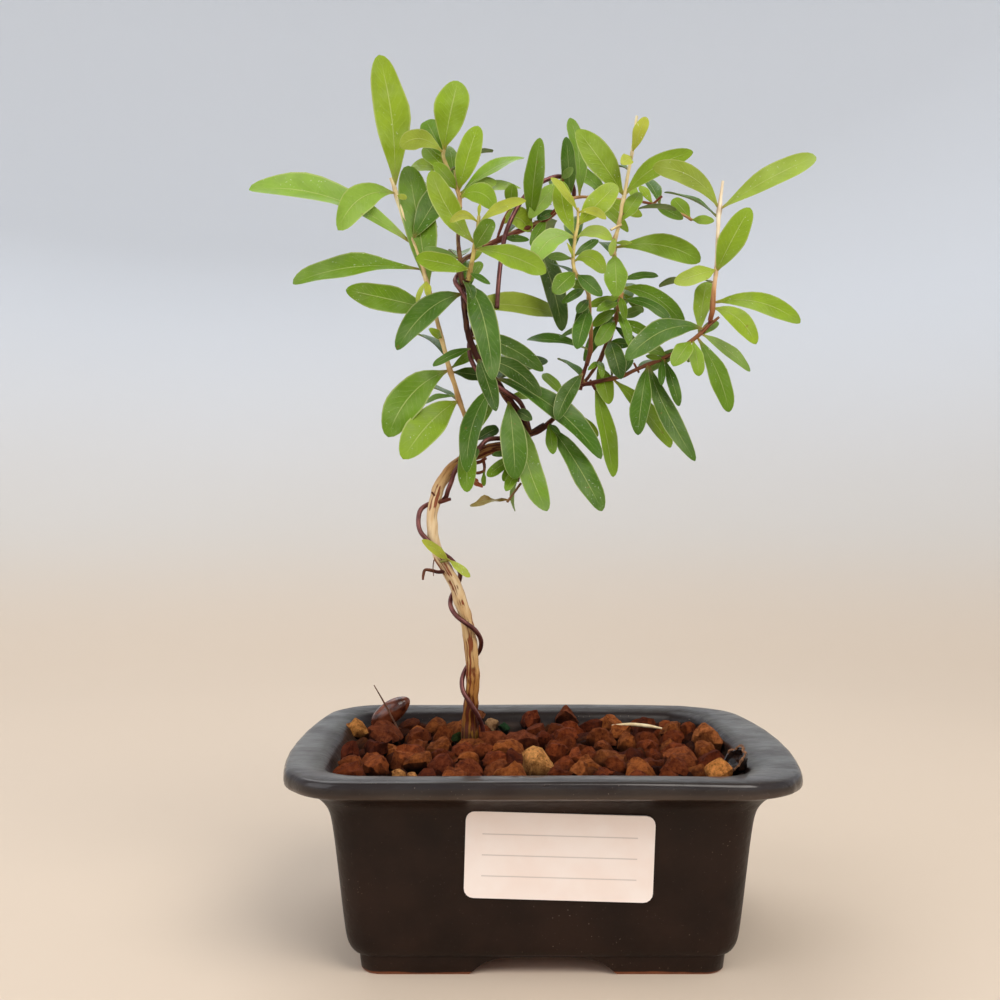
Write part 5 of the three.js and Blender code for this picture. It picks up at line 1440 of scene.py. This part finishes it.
def upper_granules(draw, set_down):
    """The granules seen from above, first those set down one by one."""
    lumps = list(set_down)
    for _ in range(GRANULE_TRIES):
        radius = draw(*GRANULE_RADIUS)
        x, y = (draw(-side / 2, side / 2) for side in POT_SIZE)
        place = Vector((x, y, SOIL_TOP - radius + draw(*GRANULE_UNEVENNESS)))
        near = [math.dist(place.xy, p.xy) / (radius + r) for p, r in lumps]
        if min(near[:len(set_down)]) > SET_DOWN_ROOM and min(near) > GRANULE_CLOSENESS:
            lumps.append((place, radius))
    return lumps


def on_soil(u, v):
    """The place on the soil's top that is seen at u, v."""
    low, high = -SOIL_REACH, SOIL_REACH
    for _ in range(SOIL_HALVINGS):
        y = (low + high) / 2
        if seen(u, v, y).z > SOIL_TOP - SOIL_SEEN_DEPTH:
            low = y
        else:
            high = y
    return seen(u, v, y)


def set_down_granules():
    """Places and radii of the granules set down one by one, none of them in the back wall."""
    lumps = []
    for u, v, size, _ in GRANULE_ACCENTS:
        place = on_soil(u, v)
        radius = sheet_length(size, place.y) / 2
        back = POT_SIZE[1] / 2 - depth_inset(inside_at(place.z)[0]) - radius
        lumps.append((seen(u, v, back) if place.y > back else place, radius))
    return lumps


def clear_of(line, place, distance):
    stops = (i / TRUNK_STOPS * TRUNK_BURIED_SHARE for i in range(TRUNK_STOPS + 1))
    return all((line.at(stop) - place).length >= distance + line.radius(0) for stop in stops)


def soil(trunk_line):
    draw = draws_from(GRANULE_SEED)
    bed = ringed([(inside_at(height)[0], height, radius) for height, radius in SOIL_BED], SOIL_GAP)
    # the bed is tinted with painted shade, as dark as the gaps between the granules
    pieces, tints = [bed], [shade(SOIL_BED_PAINTED_SHADE)] * len(bed.data.vertices)
    own = [shade(code) for *_, code in GRANULE_ACCENTS]
    upper, deep = upper_granules(draw, set_down_granules()), deep_granules(draw)
    for lumps, cuts, light, set_down in ((upper, UPPER_CUTS, 1, len(own)), (deep, DEEP_CUTS, DEEP_PAINTED_SHADE_BRIGHTNESS, 0)):
        shapes = granule_shapes(cuts, draw)
        for i, (place, radius) in enumerate(lumps):
            if i >= set_down:
                if room_to_wall(place) < GRANULE_WALL_ROOM * radius:
                    continue
                if not clear_of(trunk_line, place, radius * GRANULE_TRUNK_ROOM):
                    continue
            if i < set_down:
                chosen = own[i]
            else:
                chosen = shade(GRANULE_TONES[int(draw(0, len(GRANULE_TONES) - 0.001))])
            # light is 1 for the upper granules and the painted shade of the deep ones
            bright = light * draw(*GRANULE_BRIGHTNESS)
            lump = granule(shapes[i % len(shapes)], place, radius, draw)
            tints += [tuple(bright * c for c in chosen)] * len(lump.data.vertices)
            pieces.append(lump)
        for lump in shapes:
            bpy.data.objects.remove(lump)
    whole = joined("soil_granules", pieces)
    tinted(whole, tints)
    return settled(whole, granule_finish(), 30)


# ---- Wood ----


def tone_at(tones, v):
    if v <= tones[0][0]:
        return shade(tones[0][1])
    for (v0, first), (v1, second) in zip(tones, tones[1:]):
        if v <= v1:
            return blended(shade(first), shade(second), (v - v0) / (v1 - v0))
    return shade(tones[-1][1])


def blended(first, second, share):
    return tuple(a + (b - a) * share for a, b in zip(first, second))


def rooted(line):
    """The line drawn back a little into what it grows from."""
    start, towards = line.points[:2]
    back = start - (towards - start).normalized() * BRANCH_ROOT
    return Line([back, *line.points], [line.radii[0], *line.radii])


def wood(name, lines, tones, finish, feet=(), sides=12, roughness=BARK_ROUGHNESS):
    """A node's stems as one piece, thicker and browner where leaves or branches start."""
    whole = joined(name, [rod(f"{name}_{i}", line, ROD_STEPS, sides) for i, line in enumerate(lines)])

    def nearest_foot(p):
        """The way out from the nearest foot, and how near it is, up to 1."""
        out, nearness = Vector(), 0
        for place, radius in feet:
            away = (p - place).length / (radius * NODE_REACH)
            if math.exp(-away * away) > nearness:
                out, nearness = p - place, math.exp(-away * away)
        return out, nearness

    def shaped(p):
        out, nearness = nearest_foot(p)
        return p + out * NODE_SWELLING * nearness + unevenness(p * BARK_BUMPS) * roughness

    places = [corner.co for corner in whole.data.vertices]
    shares = [NODE_TONE_SHARE * nearest_foot(p)[1] for p in places]
    plain = [tone_at(tones, drawn_height(p)) for p in places]
    tinted(whole, [blended(tone, shade(NODE_TONE), share) for tone, share in zip(plain, shares)])
    return settled(whole, finish, 60, shaped)


# ---- Leaves ----


def leaf_shape():
    """A flat leaf to be copied: x across from -1 to 1, y along from 0 to 1, z up or down."""
    bpy.ops.mesh.primitive_circle_add(vertices=len(LEAF_SECTION), radius=1)
    leaf = bpy.context.object
    for corner, (across, up) in zip(leaf.data.vertices, LEAF_SECTION):
        corner.co = (across, LEAF_SWEEP * abs(across), up)
    with edited(leaf):
        for share, next_share in zip(LEAF_STATIONS, LEAF_STATIONS[1:]):
            bpy.ops.mesh.extrude_region_move(TRANSFORM_OT_translate={"value": (0, next_share - share, 0)})
    return finished(closed(leaf), "TRIANGULATE", quad_method="SHORTEST_DIAGONAL")


def leaf_width(share, widest, bluntness):
    """Share of a leaf's full width: a long wedge from the petiole, then a rounded tip."""
    if share < widest:
        return math.sin(math.pi / 2 * (share / widest)) ** LEAF_WEDGE
    return max(0, 1 - ((share - widest) / (1 - widest)) ** bluntness) ** 0.5


def leaf(shape, blade, tone, draw):
    """A copy of the leaf shape, laid along a blade, with its corners' tints and places on the leaf."""
    made = copied(shape)
    widest, bluntness = draw(*LEAF_WIDEST), draw(*LEAF_BLUNTNESS)
    fold = draw(*LEAF_FOLD)
    curled = DRY_CURL if tone in DRY_TONES else 1
    wave, turns, phase = curled * draw(*LEAF_WAVE), draw(*LEAF_WAVES), draw(0, 2 * math.pi)
    notch, notches = curled * draw(*LEAF_NOTCH), draw(*LEAF_NOTCHES)
    twist = draw(*LEAF_TWIST)
    bright, warm = draw(*LEAF_BRIGHTNESS), draw(*LEAF_WARMTH)
    own = [bright * c * w for c, w in zip(shade(LEAF_TONES[tone]), (1 + warm, 1, 1 - warm))]
    tints, spots = [], []
    for corner in made.data.vertices:
        across, share, up = corner.co
        share = min(max(share, 0), 1)
        side_phase = phase + (LEAF_SIDE_PHASE if across > 0 else 0)
        ragged = 1 + notch * math.sin(notches * 2 * math.pi * share + side_phase)
        half = blade.width / 2 * leaf_width(share, widest, bluntness) * ragged
        half = max(half, PETIOLE_RADIUS if share < 0.5 else TIP_RADIUS)
        middle, along, side = blade.station(share)
        upper = along.cross(side)
        turned = side * math.cos(twist * share) + upper * math.sin(twist * share)
        upper = along.cross(turned)
        ripple = wave * blade.width * math.sin(turns * 2 * math.pi * share + side_phase)
        lift = abs(across) * half * math.sin(fold) + ripple * abs(across) * math.sin(math.pi * share)
        thick = LEAF_THICKNESS if share > PETIOLE_END else PETIOLE_RADIUS * 2
        corner.co = middle + turned * across * half * math.cos(fold) + upper * (lift + up * thick)
        stalk = max(0, 1 - share / PETIOLE_END)
        tints.append(blended(own, shade(PETIOLE_TONE), stalk * PETIOLE_TONE_SHARE))
        spots.append((across, share, up * 2))
    return made, tints, spots


def leaves(name, blades, shape, finish, draw):
    made, tints, spots = zip(*(leaf(shape, blade, tone, draw) for tone, blade in blades))
    whole = joined(name, made)
    tinted(whole, [tint for own in tints for tint in own])
    marked(whole, "leaf_place", [spot for own in spots for spot in own])
    return settled(whole, finish, 60)


# ---- Wires ----


def winding(rows, line, turns):
    """Points of a wire that winds round a drawn line."""
    points = []
    for v, degrees, extra in turns:
        i = 1
        while i < len(rows) - 1 and rows[i][1] > v:
            i += 1
        share = (i - 1 + (rows[i - 1][1] - v) / (rows[i - 1][1] - rows[i][1])) / (len(rows) - 1)
        _, right, front = line.across(share)
        angle = math.radians(degrees)
        distance = line.radius(share) + WIRE_DIAMETER / 2 + WIRE_CLEARANCE + extra
        points.append(line.at(share) + (front * math.cos(angle) + right * math.sin(angle)) * distance)
    return points


def wire(name, points, finish):
    return settled(rod(name, Line(points, [WIRE_DIAMETER / 2] * len(points)), ROD_STEPS, 12), finish, 50)


# ---- What lies on the soil ----


def rested(piece, node):
    """Lowers or lifts a finished piece so that it lies where its node does."""
    lowest = min(corner.co.z for corner in piece.data.vertices)
    for corner in piece.data.vertices:
        corner.co.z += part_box(node)[0][2] - lowest
    piece.data.update()
    return piece


def middle_of(node):
    low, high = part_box(node)
    return drawn((Vector(low) + Vector(high)) / 2)


def seed_pod():
    """A long rounded pod, narrower towards its ends."""
    bpy.ops.mesh.primitive_uv_sphere_add(segments=32, ring_count=20, radius=1)
    body = bpy.context.object
    body.name = "seed_pod_body"
    matrix = Euler((0, -POD_RISE, 0)).to_matrix()
    middle = middle_of("seed_pod") - Vector((0, 0, POD_SINK))

    def shaped(p):
        narrow = 1 - POD_SHARPNESS * p.x ** 2 * (1 if p.x > 0 else POD_BLUNT_END)
        length, width, height = POD_HALF
        return middle + matrix @ Vector((p.x * length, p.y * width * narrow, p.z * height * narrow))

    return settled(body, plain_finish("seed_shell", POD_TONES, 0.12, 3, 0.06), 60, shaped)


def husk():
    """Half of a split seed shell lying open to one side, with a ragged fibrous rim."""
    bpy.ops.mesh.primitive_uv_sphere_add(segments=28, ring_count=16, radius=1)
    bowl = bpy.context.object
    bowl.name = "split_husk"
    with edited(bowl):
        bpy.ops.mesh.bisect(plane_co=(0, 0, HUSK_RIM), plane_no=(0, 0, 1), clear_outer=True)
    matrix = Euler(HUSK_TURN).to_matrix()
    middle = middle_of("husk") + Vector(HUSK_SHIFT)

    def shaped(p):
        ragged = 1 + HUSK_RAGGEDNESS * noise.noise(p * HUSK_DENTS)
        return middle + matrix @ Vector([ragged * value * half for value, half in zip(p, HUSK_HALF)])

    for corner in bowl.data.vertices:
        corner.co = shaped(corner.co)
    finished(bowl, "SOLIDIFY", thickness=HUSK_WALL, offset=-1)
    settled(bowl, plain_finish("husk_shell", HUSK_TONES, 0.16, 2.5, 0.1), 40)
    start, end = HUSK_FIBRE_TURN
    stops = []
    for i in range(HUSK_FIBRE_STEPS + 1):
        angle = start + (end - start) * i / HUSK_FIBRE_STEPS
        place = shaped(Vector((math.cos(angle), math.sin(angle), HUSK_RIM)))
        stops.append(place + unevenness(place * HUSK_FIBRE_SWAYS) * HUSK_WALL)
    fibre = rod("husk_fibre", Line(stops, [HUSK_WALL / 2] * len(stops)), 4, 8)
    frayed = plain_finish("fibre", FIBRE_TONES, 0.7, 1, 0.3)
    settled(fibre, frayed, 40, lambda p: p + unevenness(p * HUSK_FIBRE_FRAYS) * HUSK_FIBRE_FRAY)
    return bowl, fibre


def dry_stalk(name, node, rows, radius, tones):
    """A thin dead stalk that tapers at its end."""
    line = Line([seen(*row) for row in rows], [radius] * (len(rows) - 1) + [radius / 2])
    return rested(settled(rod(name, line, ROD_STEPS, 8), plain_finish(node, tones, 0.6), 50), node)


# ---- The plant, put together ----

BARK_FINISH = bark_finish("bark", 0.9, 0.075)
SHOOT_FINISH = bark_finish("young_bark", 0.22)
LEAF_FINISH = leaf_finish("leaf")
WIRE_FINISH = wire_finish()


def stand_for(piece, node):
    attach(piece, "root")
    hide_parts(node)


def dressed(node, finish):
    """Gives a solid node its finish."""
    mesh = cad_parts[node].data
    mesh.materials.clear()
    mesh.materials.append(finish)


trunk_line = wood_line(TRUNK_LINE)
wired_limb = wood_line([TRUNK_LINE[-1], *LEAFY_STEMS["limb_left"]["stems"][0]])

stand_for(pot(), "pot")
stand_for(soil(trunk_line), "soil")
dressed("label", paper_finish())
screen_finish = mesh_plastic_finish()
dressed("drain_screen_left", screen_finish)
dressed("drain_screen_right", screen_finish)

trunk_lines = [trunk_line, wired_limb, *map(wood_line, TRUNK_FORKS)]
trunk_wood = wood("trunk_wood", trunk_lines, WOOD_TONES["trunk"], BARK_FINISH, (), 16, TRUNK_ROUGHNESS)
stand_for(trunk_wood, "trunk")
stubs = [wood_line(rows) for rows in TRUNK_STUBS]
stand_for(wood("trunk_stubs", stubs, WOOD_TONES["stubs"], BARK_FINISH), "trunk")

leaf_draw = draws_from(LEAF_SEED)
shape = leaf_shape()
for node, blades in all_blades().items():
    plant = LEAFY_STEMS[node]
    stems = [rooted(wood_line(rows, WOOD_SLENDER.get(node, 1))) for rows in plant["stems"]]
    feet = [foot_on(plant["stems"], *leaf_row[1:3]) for leaf_row in plant["leaves"]]
    bark = BARK_FINISH if node.startswith("limb") else SHOOT_FINISH
    stand_for(wood(f"{node}_wood", stems, WOOD_TONES[node], bark, feet), node)
    stand_for(leaves(f"{node}_leaves", blades, shape, LEAF_FINISH, leaf_draw), node)
stub_blades = [(row[0], drawn_blade(foot_on(TRUNK_STUBS, *row[1:3]), row, 0)) for row in STUB_LEAVES]
stand_for(leaves("stub_leaves", stub_blades, shape, LEAF_FINISH, leaf_draw), "trunk")
bpy.data.objects.remove(shape)

wired_rows = TRUNK_LINE + LEAFY_STEMS["limb_left"]["stems"][0]
turns = winding(wired_rows, wood_line(wired_rows), TRUNK_WIRE_TURNS)
buried = Vector((turns[0].x, turns[0].y, WIRE_BURIED_END))
stand_for(wire("wire_up_the_trunk", [buried, *turns], WIRE_FINISH), "wire_trunk")
rear_wire = wire("wire_at_the_back", [seen(*point) for point in REAR_WIRE_LINE], WIRE_FINISH)
stand_for(rear_wire, "wire_back")

stand_for(seed_pod(), "seed_pod")
shell, fibre = husk()
stand_for(shell, "husk")
stand_for(fibre, "husk")
needle = dry_stalk("dry_needle_stalk", "dry_needle", NEEDLE_LINE, NEEDLE_RADIUS, NEEDLE_TONES)
stand_for(needle, "dry_needle")
stand_for(dry_stalk("dry_straw", "straw", STRAW_LINE, STRAW_RADIUS, STRAW_TONES), "straw")

# ---- Floor, light and camera ----


def studio():
    """A pale floor that curves up all round."""
    bpy.ops.mesh.primitive_circle_add(vertices=FLOOR_SIDES, radius=FLOOR_RADIUS, fill_type="NGON")
    floor = bpy.context.object
    floor.name = "floor"
    rows = [(FLOOR_RADIUS, 0)]
    for i in range(1, FLOOR_BEND_STEPS + 1):
        turn = math.pi / 2 * i / FLOOR_BEND_STEPS
        rows.append((FLOOR_RADIUS + FLOOR_BEND * math.sin(turn), FLOOR_BEND * (1 - math.cos(turn))))
    rows.append((rows[-1][0], rows[-1][1] + FLOOR_WALL))
    with edited(floor):
        bpy.ops.mesh.select_mode(type="EDGE")
        for (radius, height), (next_radius, next_height) in zip(rows, rows[1:]):
            rise, growth = next_height - height, next_radius / radius
            bpy.ops.mesh.extrude_edges_move(TRANSFORM_OT_translate={"value": (0, 0, rise)})
            bpy.ops.transform.resize(value=(growth, growth, 1), center_override=(0, 0, 0))
        bpy.ops.mesh.select_mode(type="VERT")
    floor.data.materials.append(floor_finish())
    return smoothed(floor, 60)


studio()
for name, (place, size, power, colour) in LIGHTS.items():
    bpy.ops.object.light_add(type="AREA", location=place)
    lamp = bpy.context.object
    lamp.name = name
    lamp.data.size = size
    lamp.data.energy = power
    lamp.data.color = colour
    lamp.rotation_euler = (Vector(LIGHTS_AIM) - Vector(place)).to_track_quat("-Z", "Y").to_euler()

world = bpy.data.worlds.new("sky")
world.use_nodes = True
world.node_tree.nodes["Background"].inputs["Color"].default_value = SKY_COLOUR
world.node_tree.nodes["Background"].inputs["Strength"].default_value = SKY_STRENGTH
bpy.context.scene.world = world

bpy.ops.object.camera_add(location=placed(EYE), rotation=(math.pi / 2 + EYE_RISE, 0, 0))
camera = bpy.context.object
camera.data.sensor_width = SENSOR_WIDTH
camera.data.lens = SENSOR_WIDTH * SHEET_FOCUS / SHEET_WIDTH
camera.data.clip_start = CAMERA_NEAR
bpy.context.scene.camera = camera
bpy.context.scene.view_settings.view_transform = "Standard"
